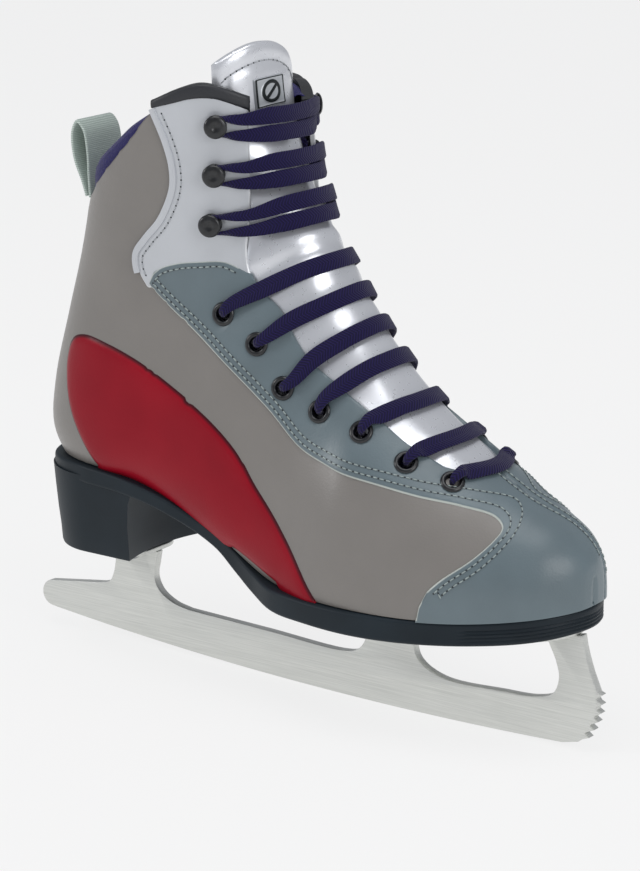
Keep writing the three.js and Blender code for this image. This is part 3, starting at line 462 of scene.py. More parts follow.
def off_throat(margin=0.0):
    return lambda x, y, z, u, turn: np.where(
        (u > 5.4) & (np.abs(turn - math.pi) < 1.6),
        throat_reach(u) * np.clip((u - 6) / 0.1, -1, 1) + margin - np.abs(y), -9)


def finished(piece, body, nodes):
    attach(piece, body)
    if nodes:
        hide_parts(*nodes)


def shader(name, metallic=0.0, roughness=0.5, coat=0.0, sheen=0.0, specular=0.5):
    """A new surface, with its node tree and shader, and its uniform numbers set on the shader."""
    finish = bpy.data.materials.new(name)
    finish.use_nodes = True
    tree = finish.node_tree
    surface = tree.nodes["Principled BSDF"]
    for key, value in (("Metallic", metallic), ("Roughness", roughness), ("Coat Weight", coat),
                       ("Coat Roughness", 0.25), ("Sheen Weight", sheen), ("Specular IOR Level", specular)):
        surface.inputs[key].default_value = value
    return finish, tree, surface


def node(tree, kind, **settings):
    made = tree.nodes.new(kind)
    for key, value in settings.items():
        if key in made.inputs:
            made.inputs[key].default_value = value
        else:
            setattr(made, key, value)
    return made


def ramp(tree, source, stops):
    made = tree.nodes.new("ShaderNodeValToRGB")
    tree.links.new(source, made.inputs["Fac"])
    while len(made.color_ramp.elements) < len(stops):
        made.color_ramp.elements.new(0.5)
    for element, (place, colour) in zip(made.color_ramp.elements, stops):
        element.position = place
        element.color = (*colour, 1)
    return made.outputs["Color"]


def texture(tree, kind, **settings):
    """A texture that reads the piece's own coordinates."""
    made = node(tree, kind, **settings)
    tree.links.new(tree.nodes.new("ShaderNodeTexCoord").outputs["Object"], made.inputs["Vector"])
    return made


def combined(tree, operation, *sources):
    """The result of a sum on textures and plain numbers."""
    made = node(tree, "ShaderNodeMath", operation=operation)
    for source, socket in zip(sources, made.inputs):
        if isinstance(source, (int, float)):
            socket.default_value = source
        else:
            tree.links.new(source, socket)
    return made.outputs["Value"]


def coloured(tree, surface, source, stops):
    """Colours the surface by a texture, from one stop to the next."""
    tree.links.new(ramp(tree, source, stops), surface.inputs["Base Color"])


def edged(tree, surface, colour, edge_colour, start, end):
    """Colours the surface, with another colour along its cut edges that fades between two distances in mm."""
    edge = node(tree, "ShaderNodeAttribute", attribute_name="edge")
    near = node(tree, "ShaderNodeMapRange",
                **{"From Min": start, "From Max": end, "To Min": 1.0, "To Max": 0.0})
    tree.links.new(edge.outputs["Fac"], near.inputs["Value"])
    mix = node(tree, "ShaderNodeMix", data_type="RGBA")
    tree.links.new(near.outputs["Result"], mix.inputs["Factor"])
    tree.links.new(colour, mix.inputs[6])
    mix.inputs[7].default_value = (*edge_colour, 1)
    tree.links.new(mix.outputs[2], surface.inputs["Base Color"])


def raised(tree, surface, height, strength, distance):
    """Gives the surface a fine relief."""
    bump = node(tree, "ShaderNodeBump", Strength=strength, Distance=distance)
    tree.links.new(height, bump.inputs["Height"])
    tree.links.new(bump.outputs["Normal"], surface.inputs["Normal"])


def dulled(tree, surface, source, low, high):
    """Lets the roughness vary with a texture, between two values."""
    spread = node(tree, "ShaderNodeMapRange", **{"To Min": low, "To Max": high})
    tree.links.new(source, spread.inputs["Value"])
    tree.links.new(spread.outputs["Result"], surface.inputs["Roughness"])


def dress(names, finish):
    """Gives CAD nodes that are shown as they are a material."""
    for name in names:
        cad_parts[name].data.materials.clear()
        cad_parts[name].data.materials.append(finish)


def linear(red, green, blue):
    """A colour as it looks on screen, 0 to 255, in the shader's linear values."""
    shown = (red / 255, green / 255, blue / 255)
    return tuple(c / 12.92 if c <= 0.04045 else ((c + 0.055) / 1.055) ** 2.4 for c in shown)


def leather(name, colour, cut_colour, metallic=0.0, roughness=0.42, coat=0.15, grain=0.1, mottle=0.1):
    """Coated leather: a fine pebble grain, soft mottling, and the lighter cut along its edges."""
    finish, tree, surface = shader(name, metallic, roughness, coat)
    cloud = texture(tree, "ShaderNodeTexNoise", Scale=38.0, Detail=4.0)
    dark = tuple(c * (1 - mottle) for c in colour)
    light = tuple(min(c * (1 + mottle), 1) for c in colour)
    edged(tree, surface, ramp(tree, cloud.outputs["Fac"], [(0.3, dark), (0.7, light)]), cut_colour, 0.35,
          0.75)
    pebbles = texture(tree, "ShaderNodeTexVoronoi", Scale=1150.0, Randomness=0.9)
    wrinkles = texture(tree, "ShaderNodeTexNoise", Scale=420.0, Detail=5.0, Roughness=0.6)
    relief = combined(tree, "ADD", pebbles.outputs["Distance"], wrinkles.outputs["Fac"])
    raised(tree, surface, relief, grain, 0.0004)
    dulled(tree, surface, wrinkles.outputs["Fac"], roughness - 0.05, roughness + 0.1)
    return finish


quarter_leather = leather("warm_grey_leather", linear(123, 119, 115), linear(104, 100, 97), coat=0.12,
                          roughness=0.38, mottle=0.05)
quarter_zone = np.vstack([[(-150, 0), (150, 0), (150, 200)], flowing(collar_line), [(-150, 189)]])
for word, side in sides:
    piece = laid_grid(f"quarter_{word}", 150, 75, lambda a, b: (b * top_section, turn_on(side, a)))
    trim(piece, lambda x, y, z, u, turn: beyond(quarter_zone, x, z))
    trim(piece, above_seat())
    trim(piece, off_throat())
    # the middle of the vamp and cuffs covers it, so it ends a little way under them
    covered = np.vstack([flowing(vamp_low_line)[:-6], [(150, 48), (150, 160)], [(20, 240), (-30, 240)],
                         flowing(cuff_rear_line)])
    trim(piece, lambda x, y, z, u, turn: -beyond(covered, x, z) - 7)
    outward(piece)
    away = from_edge(piece, lambda p: p.z > 0.186 and abs(p.x) < 0.3 and p.x < -0.03)
    reshape(piece, rolled(away, 1.2, 0.7))
    thicken(piece, 1.6)
    piece.data.materials.append(quarter_leather)
    finished(piece, "skate", [f"quarter_{word}"])

# ---- Vamps and toe ----
# The blue-grey front: two shaped pieces closed by a seam over the toe, laid over the quarters and cuffs
# and stitched down twice along the lower edge. They carry the seven pairs of eyelets.
vamp_leather = leather("blue_grey_leather", linear(97, 111, 117), linear(188, 194, 188), coat=0.15,
                       roughness=0.36)
vamp_outline = np.vstack([flowing(vamp_low_line), [(150, 40), (150, 120), (60, 190), (10, 190)],
                          flowing(vamp_top_line)])
toe_seam = flowing([(60, 0), (92, 0.3), (105, 1.8), (116, 6.4), (126, 9), (145, 9)])
creases = (0.35, 0.9, 1.8)
eyelet_sections = (6.6, 7.8, 9.15, 10.5, 11.6, 12.75, 14.15)
eyelet_set_back = 5.5


def seat(u, y, side):
    """Where a fitting sits: its point, and the directions out of the leather, up the throat and away from it."""
    place = lambda p, q: boot(p, turn_at(np.array([p]), np.array([q]), side)[0])
    unit = lambda v: v / np.linalg.norm(v)
    point = place(u, y)
    up = unit(place(u + 0.02, y) - point)
    away = unit(place(u, y + 0.5) - point)
    out = unit(np.cross(up, away) * -side)
    return point, out, up, np.cross(out, up) * -side


for word, side in sides:
    # the toe seam runs over to the inner side, so the outer piece wraps the whole tip
    reach = lambda u: 1.0 if side > 0 else 1.16 + 0.84 * np.clip((2.8 - u) / 1.6, 0, 1)
    low = lambda u: 0.12 * np.clip((u - 3) / 2, 0, 1)
    vamp_turn = lambda a, u: turn_on(side, low(u) + (reach(u) - low(u)) * a)
    piece = laid_grid(f"vamp_{word}", 170, 90, lambda a, b: (b * 16.5, vamp_turn(a, b * 16.5)))
    seam = lambda x, y, z, u, turn: -side * (y - np.interp(x, toe_seam[:, 0], toe_seam[:, 1])
                                             * (u < 8)) + 0.12
    trim(piece, seam)
    trim(piece, lambda x, y, z, u, turn: beyond(vamp_outline, x, z))
    trim(piece, off_throat())
    trim(piece, above_seat())
    for row in eyelet_sections:
        middle_of_hole = seat(row, float(throat_reach(row)) + eyelet_set_back, side)[0] / mm
        trim(piece, lambda x, y, z, u, turn: 3.3 - np.linalg.norm(np.stack([x, y, z], -1) - middle_of_hole,
            axis=-1))
    for by in creases:
        trim(piece, lambda x, y, z, u, turn: beyond(vamp_outline, x, z) + by, keep=True)
        trim(piece, off_throat(by), keep=True)
    outward(piece)
    away = from_edge(piece, lambda p: p.z / mm > np.interp(p.x / mm, seat_line[:, 0], seat_line[:, 1]) + 1.2)
    reshape(piece, rolled(away, 1.1, 0.7) - 0.9)
    u, turn = read(piece, "section"), read(piece, "turn")
    x, y, z = (boot(u, turn) / mm).T
    # the two halves meet at the very tip
    tip = np.array([v.co for v in piece.data.vertices])
    tip[u < 0.02, 1] = tip[u < 0.02, 1].mean() if (u < 0.02).any() else 0
    piece.data.vertices.foreach_set("co", tip.ravel())
    # the light cut shows along the lower edge only, not at the throat, the toe seam or the eyelets
    inner_edge = (np.abs(off_throat()(x, y, z, u, turn)) < 1.6) | ((u < 8)
        & (np.abs(seam(x, y, z, u, turn)) < 1.8))
    inner_edge |= beyond(vamp_outline, x, z) < -1.6
    write(piece, "edge", np.where(inner_edge, 5.0, away))
    thicken(piece, 1.4)
    piece.data.materials.append(vamp_leather)
    finished(piece, "skate", [f"vamp_{word}"])

# ---- Cuffs ----
# Silver-coated leather over the ankle, one each side, with three lacing hooks. The rear edge has a white
# welt stitched down beside the quarter.
cuff_leather = leather("silver_leather", linear(192, 195, 200), linear(222, 224, 226), metallic=0.35,
                       roughness=0.36,
                       coat=0.2, grain=0.07, mottle=0.04)
cuff_outline = np.vstack([flowing(cuff_rear_line),
                          [(-49.5, 163.5), (-40, 158.5), (-28, 150), (20, 150), (20, 225)],
                          flowing(cuff_top_line)])
def front_drop(x, side):
    """How much lower the inner cuff and its binding are cut towards the front, where little of them shows."""
    return 6 * np.clip((x + 42) / 15, 0, 1) * (side > 0)


for word, side in sides:
    piece = laid_grid(f"cuff_{word}", 90, 70, lambda a, b: (12.5 + b * 8.3, turn_on(side, 0.3 + 0.7 * a)))
    under_vamp = lambda x, y, z, u, turn: -beyond(vamp_outline, x, z) - 6
    trim(piece, lambda x, y, z, u, turn: beyond(cuff_outline, x, z + front_drop(x, side)))
    trim(piece, under_vamp)
    trim(piece, off_throat(0.15))
    for by in creases:
        trim(piece, lambda x, y, z, u, turn: beyond(cuff_outline, x, z + front_drop(x, side)) + by, keep=True)
        trim(piece, off_throat(0.15 + by), keep=True)
    outward(piece)
    away = from_edge(piece)
    reshape(piece, rolled(away, 1.0, 0.6) - 0.5)
    thicken(piece, 1.5)
    piece.data.materials.append(cuff_leather)
    finished(piece, "skate", [f"cuff_{word}"])

# ---- Side panels ----
# A red crescent on each side of the heel and arch: glossy foil pressed over thin foam, so that it swells
# a little between its sunken edges, which carry painted shade.
red_foil, tree, surface = shader("red_foil", roughness=0.36, coat=0.05, specular=0.12)
cloud = texture(tree, "ShaderNodeTexNoise", Scale=30.0, Detail=3.0)
red_colour = ramp(tree, cloud.outputs["Fac"], [(0.3, linear(134, 8, 28)), (0.72, linear(148, 12, 32))])
# painted shade: the red darkens within 1.5 mm of the sunken edge, where shade falls in the groove
edged(tree, surface, red_colour, linear(66, 16, 26), 0.5, 1.5)
foil_grain = texture(tree, "ShaderNodeTexVoronoi", Scale=900.0)
raised(tree, surface, foil_grain.outputs["Distance"], 0.06, 0.0004)
red_outline = flowing([
    (38, 46), (24, 64.3), (11.4, 78), (-1.4, 91), (-10.1, 103.2), (-22.1, 113.5), (-38.3, 123.5),
    (-55.6, 132), (-72.8, 137.6), (-85.7, 139.5), (-94.1, 136.5), (-98.2, 128), (-98, 117), (-95.4, 105.4),
    (-91.5, 96), (-84, 82)])
for word, side in sides:
    turns = (0.1, math.pi) if side < 0 else (2 * math.pi - 0.1, math.pi)
    piece = laid_grid(f"side_panel_{word}", 150, 80,
                      lambda a, b: (7.0 + b * 11.5, turns[0] + (turns[1] - turns[0]) * 0.96 * a))
    trim(piece, lambda x, y, z, u, turn: beyond(red_outline, x, z))
    trim(piece, above_seat(0.6))
    for by in (0.4, 1.0, 1.8, 3.0):
        trim(piece, lambda x, y, z, u, turn: beyond(red_outline, x, z) + by, keep=True)
    outward(piece)
    away = from_edge(piece, lambda p: p.z / mm > np.interp(p.x / mm, seat_line[:, 0], seat_line[:, 1]) + 1.8)
    reshape(piece, -0.15 - 1.15 * (1 - np.exp(-np.maximum(away - 0.3, 0) / 1.7)))
    thicken(piece, 0.9)
    piece.data.materials.append(red_foil)
    finished(piece, "skate", [f"side_panel_{word}"])

# ---- Backstay and pull loop ----
# One length of grey-green woven tape covers the back seam from the sole up. Its end is doubled back and
# stitched down to make the loop that helps to pull the boot on.
tape, tree, surface = shader("woven_tape", roughness=0.75, sheen=0.3)
bands = {"wave_type": "BANDS", "Detail": 1.0}
ribs = texture(tree, "ShaderNodeTexWave", bands_direction="Y", Scale=560.0, Distortion=0.6, **bands)
weft = texture(tree, "ShaderNodeTexWave", bands_direction="Z", Scale=430.0, Distortion=0.8, **bands)
weave = combined(tree, "MULTIPLY", ribs.outputs["Fac"], weft.outputs["Fac"])
coloured(tree, surface, weave, [(0.0, linear(150, 164, 157)), (0.8, linear(208, 220, 212))])
raised(tree, surface, weave, 0.35, 0.0003)
tape_half, tape_thickness, backstay_top = 11.0, 1.6, 187.4


def turn_below(u, y):
    row = section(np.asarray(u, float))
    half = np.where(y < 0, row[..., 4], row[..., 5])
    phi = np.arcsin(np.minimum(np.abs(y) / half, 0.999) ** (row[..., 7] / 2))
    return np.where(y < 0, phi, 2 * math.pi - phi)


piece = laid_grid("backstay", 110, 16, lambda a,
                  b: (13.6 + b * 5.4, turn_below(13.6 + b * 5.4, (a * 2 - 1) * tape_half)))
trim(piece, lambda x, y, z, u, turn: z - backstay_top)
trim(piece, above_seat(0.4))
outward(piece)
y = np.array([v.co.y for v in piece.data.vertices]) / mm
reshape(piece, rolled(np.maximum(tape_half - np.abs(y), 0), 0.9, 0.7) - tape_thickness - 0.25)
thicken(piece, tape_thickness - 0.1)
piece.data.materials.append(tape)
finished(piece, "skate", ["backstay"])


def swept(name, points, normals, profile):
    """A closed bar that follows points, its profile given as (across, out) in mm, out along the normals."""
    points, normals = np.asarray(points, float), np.asarray(normals, float)
    ahead = np.roll(points, -1, axis=0) - np.roll(points, 1, axis=0)
    ahead[0], ahead[-1] = points[1] - points[0], points[-1] - points[-2]
    ahead /= np.maximum(np.linalg.norm(ahead, axis=1, keepdims=True), 1e-12)
    normals = normals - ahead * (normals * ahead).sum(1, keepdims=True)
    normals /= np.maximum(np.linalg.norm(normals, axis=1, keepdims=True), 1e-12)
    across = np.cross(ahead, normals)
    profile = np.asarray(profile, float)
    if profile.ndim == 2:
        profile = np.repeat(profile[None], len(points), axis=0)
    rings = points[:, None] + (across[:, None] * profile[..., :1] + normals[:, None] * profile[..., 1:]) * mm
    count, size = rings.shape[:2]
    faces = []
    for i in range(count - 1):
        for k in range(size):
            a, b = i * size + k, i * size + (k + 1) % size
            faces.append((a, b, b + size, a + size))
    faces += [tuple(range(size)), tuple(reversed(range((count - 1) * size, count * size)))]
    piece = new_piece(name, rings.reshape(-1, 3).tolist(), [], faces)
    bm = bmesh.new()
    bm.from_mesh(piece.data)
    bmesh.ops.recalc_face_normals(bm, faces=bm.faces[:])
    bm.to_mesh(piece.data)
    bm.free()
    run = np.concatenate([[0], np.cumsum(np.linalg.norm(np.diff(points, axis=0), axis=1))])
    write(piece, "run", np.repeat(run, size))
    write(piece, "across", profile[..., 0].ravel())
    smooth_off(piece)
    return piece


def flat_bar(half, up, down, steps=3):
    """A strip's section: flat, with rounded edges; up and down are its faces."""
    radius = (up - down) / 2
    middle_height = (up + down) / 2
    found = []
    for sign in (1, -1):
        for k in range(steps + 1):
            turn = math.pi / 2 - math.pi * k / steps
            found.append((sign * (half - radius + radius * math.cos(turn)),
                          middle_height + sign * radius * math.sin(turn)))
    return found


loop_line = flowing([(-100.7, 189.6), (-101.3, 199), (-101.7, 208), (-103.6, 217), (-106.9, 219.9),
                     (-109.3, 215.5),
                     (-108.5, 205.2), (-104.6, 196), (-102.5, 190)], 0.8)
loop_points = np.stack([loop_line[:, 0], np.zeros(len(loop_line)), loop_line[:, 1]], -1) * mm
ahead = np.gradient(loop_line, axis=0)
loop_out = np.stack([ahead[:, 1], np.zeros(len(ahead)), -ahead[:, 0]], -1)
loop = swept("pull_loop", loop_points, loop_out, flat_bar(tape_half, 0.8, -0.8, 4))
loop.data.materials.append(tape)
finished(loop, "loop", ["pull_loop"])

# ---- Top bindings ----
# A black folded strip closes the top edge of each cuff, over the leather and the padding behind it.
binding_leather = leather("black_binding", linear(30, 32, 38), linear(24, 26, 30), roughness=0.5, grain=0.15)
binding_low = [(-8, 229), (-14, 234.6), (-18.9, 237.6), (-23.2, 239.3), (-30.1, 239.2), (-37.2, 237.2),
               (-46.6, 234.6)]
binding_top = [(-46.6, 237.9), (-35.2, 243.1), (-27.1, 245.3), (-20.7, 244), (-14.2, 240.5), (-6, 234)]
binding_outline = np.vstack([flowing(binding_low), flowing(binding_top)])
for word, side in sides:
    piece = laid_grid(f"collar_binding_{word}", 60, 90,
                      lambda a, b: (18.4 + b * 2.4, turn_on(side, 0.4 + 0.6 * a)))
    trim(piece, lambda x, y, z, u, turn: beyond(binding_outline, x, z + front_drop(x, side)))
    trim(piece, off_throat(-0.3))
    for by in (0.3, 0.8, 1.6):
        trim(piece, lambda x, y, z, u, turn: beyond(binding_outline, x, z + front_drop(x, side)) + by,
             keep=True)
    outward(piece)
    away = from_edge(piece)
    reshape(piece, rolled(away, 1.8, 1.3) - 1.3)
    thicken(piece, 3.6)
    piece.data.materials.append(binding_leather)
    finished(piece, "skate", [f"collar_binding_{word}"])

# ---- Seams ----
# Polyester thread: two rows along the vamps' lower edge, one along their top edge, one beside each cuff's
# welt, one on either side of the toe seam, and one down each edge of the backstay.
guess_u, guess_phi = np.meshgrid(np.linspace(0.3, top_section, 330), np.linspace(0.03, math.pi - 0.03, 150),
                                 indexing="ij")
guess = boot(guess_u.ravel(), guess_phi.ravel()) / mm
side_tree = KDTree(len(guess))
for i, p in enumerate(guess):
    side_tree.insert((p[0], p[2], 0), i)
side_tree.balance()


def on_side(line, side):
    """The section and turn of side-view points (x, z) in mm, on one side of the boot."""
    picked = np.array([side_tree.find((x, z, 0))[1] for x, z in line])
    u, phi = guess_u.ravel()[picked], guess_phi.ravel()[picked]
    for _ in range(4):
        here = boot(u, phi)[:, [0, 2]] / mm
        by_u = (boot(u + 1e-4, phi)[:, [0, 2]] / mm - here) / 1e-4
        by_phi = (boot(u, phi + 1e-4)[:, [0, 2]] / mm - here) / 1e-4
        miss = np.asarray(line) - here
        det = by_u[:, 0] * by_phi[:, 1] - by_u[:, 1] * by_phi[:, 0]
        det = np.where(np.abs(det) < 1e-3, np.inf, det)
        u = np.clip(u + np.clip((miss[:, 0] * by_phi[:, 1] - miss[:, 1] * by_phi[:, 0]) / det, -0.2, 0.2), 0,
                    top_section)
        phi = np.clip(phi + np.clip((by_u[:, 0] * miss[:, 1] - by_u[:, 1] * miss[:, 0]) / det, -0.1, 0.1),
                      0.01, math.pi - 0.01)
    return u, phi if side < 0 else 2 * math.pi - phi


def offset_line(line, by):
    """A side-view line moved to its left by some mm."""
    ahead = np.gradient(np.asarray(line, float), axis=0)
    ahead /= np.linalg.norm(ahead, axis=1, keepdims=True)
    return line + np.stack([-ahead[:, 1], ahead[:, 0]], -1) * by


bpy.ops.object.select_all(action="DESELECT")
bpy.ops.mesh.primitive_uv_sphere_add(segments=6, ring_count=5, radius=1)
one_stitch = bpy.context.object
bead = np.array([v.co for v in one_stitch.data.vertices])
bead_faces = [tuple(f.vertices) for f in one_stitch.data.polygons]
bpy.data.objects.remove(one_stitch)


def thread_and_hole_shade_finish(name, colour):
    finish, tree, surface = shader(name, roughness=0.6, sheen=0.25)
    fibres = texture(tree, "ShaderNodeTexNoise", Scale=2600.0, Detail=2.0)
    coloured(tree, surface, fibres.outputs["Fac"], [(0.35, tuple(c * 0.72 for c in colour)), (0.65, colour)])
    return finish


# the needle holes are dark discs of painted shade, standing for the shade inside each hole
hole_shade_finish = thread_and_hole_shade_finish("needle_hole_painted_shade", linear(40, 48, 52))
vamp_thread = thread_and_hole_shade_finish("vamp_thread", linear(158, 170, 168))
cuff_thread = thread_and_hole_shade_finish("cuff_thread", linear(176, 180, 184))
tape_thread = thread_and_hole_shade_finish("tape_thread", linear(196, 204, 196))
stitch_pitch, stitch_lift, hole_shade_lift, ahead_by = 2.6, 0.12, 0.02, 0.2
stitch_size = np.array([2.1, 0.62, 0.62]) / 2 * mm
hole_shade_size = np.array([0.42, 0.42, 0.1]) * mm


def sewn(name, points, normals, thread, body="skate"):
    """A row of stitches along points on the leather, each a short bead of thread between two needle holes, which
    are dark discs of painted shade.
    """
    points, normals = np.asarray(points), np.asarray(normals)
    run = np.concatenate([[0], np.cumsum(np.linalg.norm(np.diff(points, axis=0), axis=1))]) / mm
    count = max(int(run[-1] / stitch_pitch), 1)
    verts, faces, kinds = [], [], []
    pick = lambda at, values: np.stack([np.interp(at, run, values[:, k]) for k in range(3)], -1)

    def beads(at, ahead, size, lift, kind):
        for place, out, along in zip(pick(at, points), pick(at, normals), ahead):
            n, t = out / np.linalg.norm(out), along / np.linalg.norm(along)
            b = np.cross(n, t)
            local = bead * size
            base = len(verts)
            verts.extend((place + n * lift * mm + local[:, :1] * t + local[:, 1:2] * b + local[:, 2:]
                          * n).tolist())
            faces.extend(tuple(base + k for k in f) for f in bead_faces)
            kinds.extend([kind] * len(bead_faces))

    centres = (np.arange(count) + 0.5) * run[-1] / count
    ahead = pick(centres + ahead_by, points) - pick(centres - ahead_by, points)
    beads(centres, ahead, stitch_size, stitch_lift, 0)
    # dark discs of painted shade at the needle holes
    beads(np.arange(count + 1) * run[-1] / count, np.vstack([ahead, ahead[-1:]]), hole_shade_size, hole_shade_lift, 1)
    piece = new_piece(name, verts, [], faces)
    piece.data.materials.append(thread)
    piece.data.materials.append(hole_shade_finish)
    piece.data.polygons.foreach_set("material_index", kinds)
    piece.data.polygons.foreach_set("use_smooth", [True] * len(faces))
    finished(piece, body, [])


def sewn_side(name, line, side, depth, thread):
    """Stitches along a side-view line, as far down as the sole."""
    above = line[:, 1] > np.interp(line[:, 0], seat_line[:, 0], seat_line[:, 1]) + 3
    u, turn = on_side(line[above], side)
    sewn(name, boot(u, turn, depth), facing(u, turn), thread)


vamp_edge = flowing(vamp_low_line)
vamp_edge = vamp_edge[2:][vamp_edge[2:, 1] > 66]
for word, side in sides:
    for row, by in (("edge", 2.2), ("second", 4.6)):
        sewn_side(f"vamp_stitching_{row}_{word}", offset_line(vamp_edge, by), side, -1.0, vamp_thread)
    top_edge = flowing(vamp_top_line)
    sewn_side(f"vamp_top_stitching_{word}", offset_line(top_edge[8:-3], 2.4), side, -1.0, vamp_thread)
    rear = flowing(cuff_rear_line)
    welt_u, welt_turn = on_side(offset_line(rear, -0.6)[1:-6], side)
    welt = swept(f"cuff_welt_{word}", boot(welt_u, welt_turn, -0.35), facing(welt_u, welt_turn),
                 flat_bar(1.5, 0.85, -0.6, 4))
    welt.data.materials.append(cuff_leather)
    write(welt, "edge", np.full(len(welt.data.vertices), 5.0))
    finished(welt, "skate", [])
    sewn_side(f"cuff_stitching_{word}", offset_line(rear[4:-4], 2.6), side, -0.5, cuff_thread)
    toe_u = np.linspace(1.35, 6.0, 90)
    toe_y = np.interp(boot(toe_u, math.pi)[:, 0] / mm, toe_seam[:, 0], toe_seam[:, 1]) + side * 2.6
    turn = turns_across(toe_u, toe_y)
    sewn(f"toe_stitching_{word}", boot(toe_u, turn, -1.0), facing(toe_u, turn), vamp_thread)
    tape_u = np.linspace(14.35, 18.75, 120)
    tape_turn = turn_below(tape_u, np.full(len(tape_u), side * (tape_half - 2.2)))
    sewn(f"backstay_stitching_{word}", boot(tape_u, tape_turn, -tape_thickness - 0.2),
         facing(tape_u, tape_turn),
         tape_thread)

# ---- Padded lining and collar ----
# Dark blue brushed knit over foam lines the boot. It is turned out over the collar's edge, where it makes
# a soft roll that stands above the quarters at the back, and runs down to the footbed inside.
lining_knit, tree, surface = shader("blue_knit", roughness=0.85, sheen=0.15, specular=0.2)
nap = texture(tree, "ShaderNodeTexNoise", Scale=1500.0, Detail=4.0, Roughness=0.7)
coloured(tree, surface, nap.outputs["Fac"], [(0.3, linear(24, 22, 66)), (0.7, linear(46, 42, 104))])
loops = texture(tree, "ShaderNodeTexVoronoi", Scale=1300.0, Randomness=0.35)
raised(tree, surface, combined(tree, "ADD", loops.outputs["Distance"], nap.outputs["Fac"]), 0.5, 0.0004)
roll_line = flowing([
    (-12, 236), (-22, 238.5), (-30, 238.6), (-37, 237), (-45, 234.8), (-53, 230.4), (-61, 225.6),
    (-70, 219.2),
    (-80, 212.5), (-90, 206.5), (-112, 203)])[::-1]


def roll_section(turn):
    """The section at which the roll's crest lies, for each turn round the collar."""
    low, high = np.full_like(turn, 15.0), np.full_like(turn, 21.0)
    for _ in range(30):
        mid = (low + high) / 2
        x, _, z = (boot(mid, turn) / mm).T
        over = z > np.interp(x, roll_line[:, 0], roll_line[:, 1])
        high, low = np.where(over, mid, high), np.where(over, low, mid)
    return (low + high) / 2


def lining_place(a, b):
    """a goes round the collar from the outer throat edge by the back; b goes over the roll and down inside."""
    ends = [turn_at(np.array([19.0]), np.array([21.5]), s)[0] for s in (-1, 1)]
    turn = np.where(a < 0.5, ends[0] * (1 - 2 * a), 2 * math.pi - (2 * math.pi - ends[1]) * (2 * a - 1))
    crest = roll_section(turn)
    scale = np.linalg.norm(boot(crest + 0.05, turn) - boot(crest - 0.05, turn), axis=1) / mm / 0.1
    path = np.array([(-15, 1.9), (-10, 1.6), (-6.5, 1.2), (-3.6, 1.3), (-1.6, 2.2), (-0.3, 3.8), (0, 5.2),
                     (-0.5, 7.0), (-2.2, 8.2), (-5, 8.7), (-12, 8.5), (-24, 8.5), (-50, 8.3), (-90, 7.6),
                     (-150, 6.6)])
    run = np.concatenate([[0], np.cumsum(np.hypot(*np.diff(path, axis=0).T))])
    at = np.where(b < 0.45, b / 0.45 * 22, 22 + (b - 0.45) / 0.55 * (run[-1] - 22))
    drop, depth = np.interp(at, run, path[:, 0]), np.interp(at, run, path[:, 1])
    lining_place.depth = depth
    return np.maximum(crest + drop / scale, 9.6), turn


lining = laid_grid("padded_lining", 90, 150, lining_place)
u, turn, depth = read(lining, "section"), read(lining, "turn"), lining_place.depth
# the roll is fuller between the throat and the heel, and quilted a little by the seam under it
reshape(lining, depth - 0.25 * np.sin(turn * 9) * (depth < 5))
in_edit_mode(lining, lambda: bpy.ops.mesh.remove_doubles(threshold=0.00002))
bm = bmesh.new()
bm.from_mesh(lining.data)
bm.faces.ensure_lookup_table()
top = max(bm.faces, key=lambda f: f.calc_center_median().z)
if top.normal.z < 0:
    bmesh.ops.reverse_faces(bm, faces=bm.faces[:])
bm.to_mesh(lining.data)
bm.free()
thicken(lining, 1.0)
lining.data.materials.append(lining_knit)
finished(lining, "skate", ["padded_lining"])

# ---- Footbed and stiffeners ----
# A knit-covered footbed lies loose on the insole board. The board, the heel counter and the toe puff are
# pressed fibre, and a spring-steel shank stiffens the waist of the sole.
dress(["footbed"], lining_knit)
fibre, tree, surface = shader("pressed_fibre", roughness=0.9)
flecks = texture(tree, "ShaderNodeTexNoise", Scale=700.0, Detail=6.0)
coloured(tree, surface, flecks.outputs["Fac"], [(0.3, linear(150, 128, 98)), (0.7, linear(196, 176, 144))])
raised(tree, surface, flecks.outputs["Fac"], 0.3, 0.0003)
dress(["insole_board", "heel_counter", "toe_puff"], fibre)

# ---- Tongue ----
# Silver-coated leather over foam, stitched in under the end of the throat and free at the top, where it
# stands above the cuffs and bends forward at a crease. A double seam arches over its top edge.
tongue_leather = leather("tongue_silver", linear(222, 224, 229), linear(222, 224, 228), metallic=0.65,
                         roughness=0.27,
                         coat=0.1, grain=0.02, mottle=0.03)
tongue_wing, tongue_low = 9.0, 5.7
dome = flowing([(32, 226), (30, 236), (27, 243), (20, 251), (8, 257), (-5, 259.3), (-18, 257.6), (-29, 252),
                (-35, 244), (-37, 236),
                (-38, 226)])
dome_outline = np.vstack([dome, [(-38, 0), (32, 0)]])


def ease(low, high, x):
    t = np.clip((x - low) / (high - low), 0, 1)
    return t * t * (3 - 2 * t)


def tongue_depth(u, y):
    """Crowned in the throat, and under the leather at its wings; behind the cuffs at the top."""
    reach = throat_reach(np.maximum(u, 6.6))
    deep = 1.3 + 5.5 * ease(14.8, 19.5, u)
    crowned = deep + (0.4 - deep) * (1 - ease(14.6, 16.2, u)) * ease(5.7, 7.2, u)
    in_throat = crowned + (deep - crowned) * ease(0.55, 0.97, np.abs(y) / reach)
    return in_throat + np.maximum(5.6 - in_throat, 0) * ease(0.4, 3.0,
        np.abs(y) - reach) * (1 - ease(14.8, 16.5, u))


def tongue_place(a, b):
    u = tongue_low + b * (20.9 - tongue_low)
    wing = throat_reach(np.maximum(u, 6.6)) + tongue_wing * ease(5.7, 7.5, u) + 1.5 * ease(18, 20, u)
    y = (a * 2 - 1) * wing
    return u, turns_across(u, y)


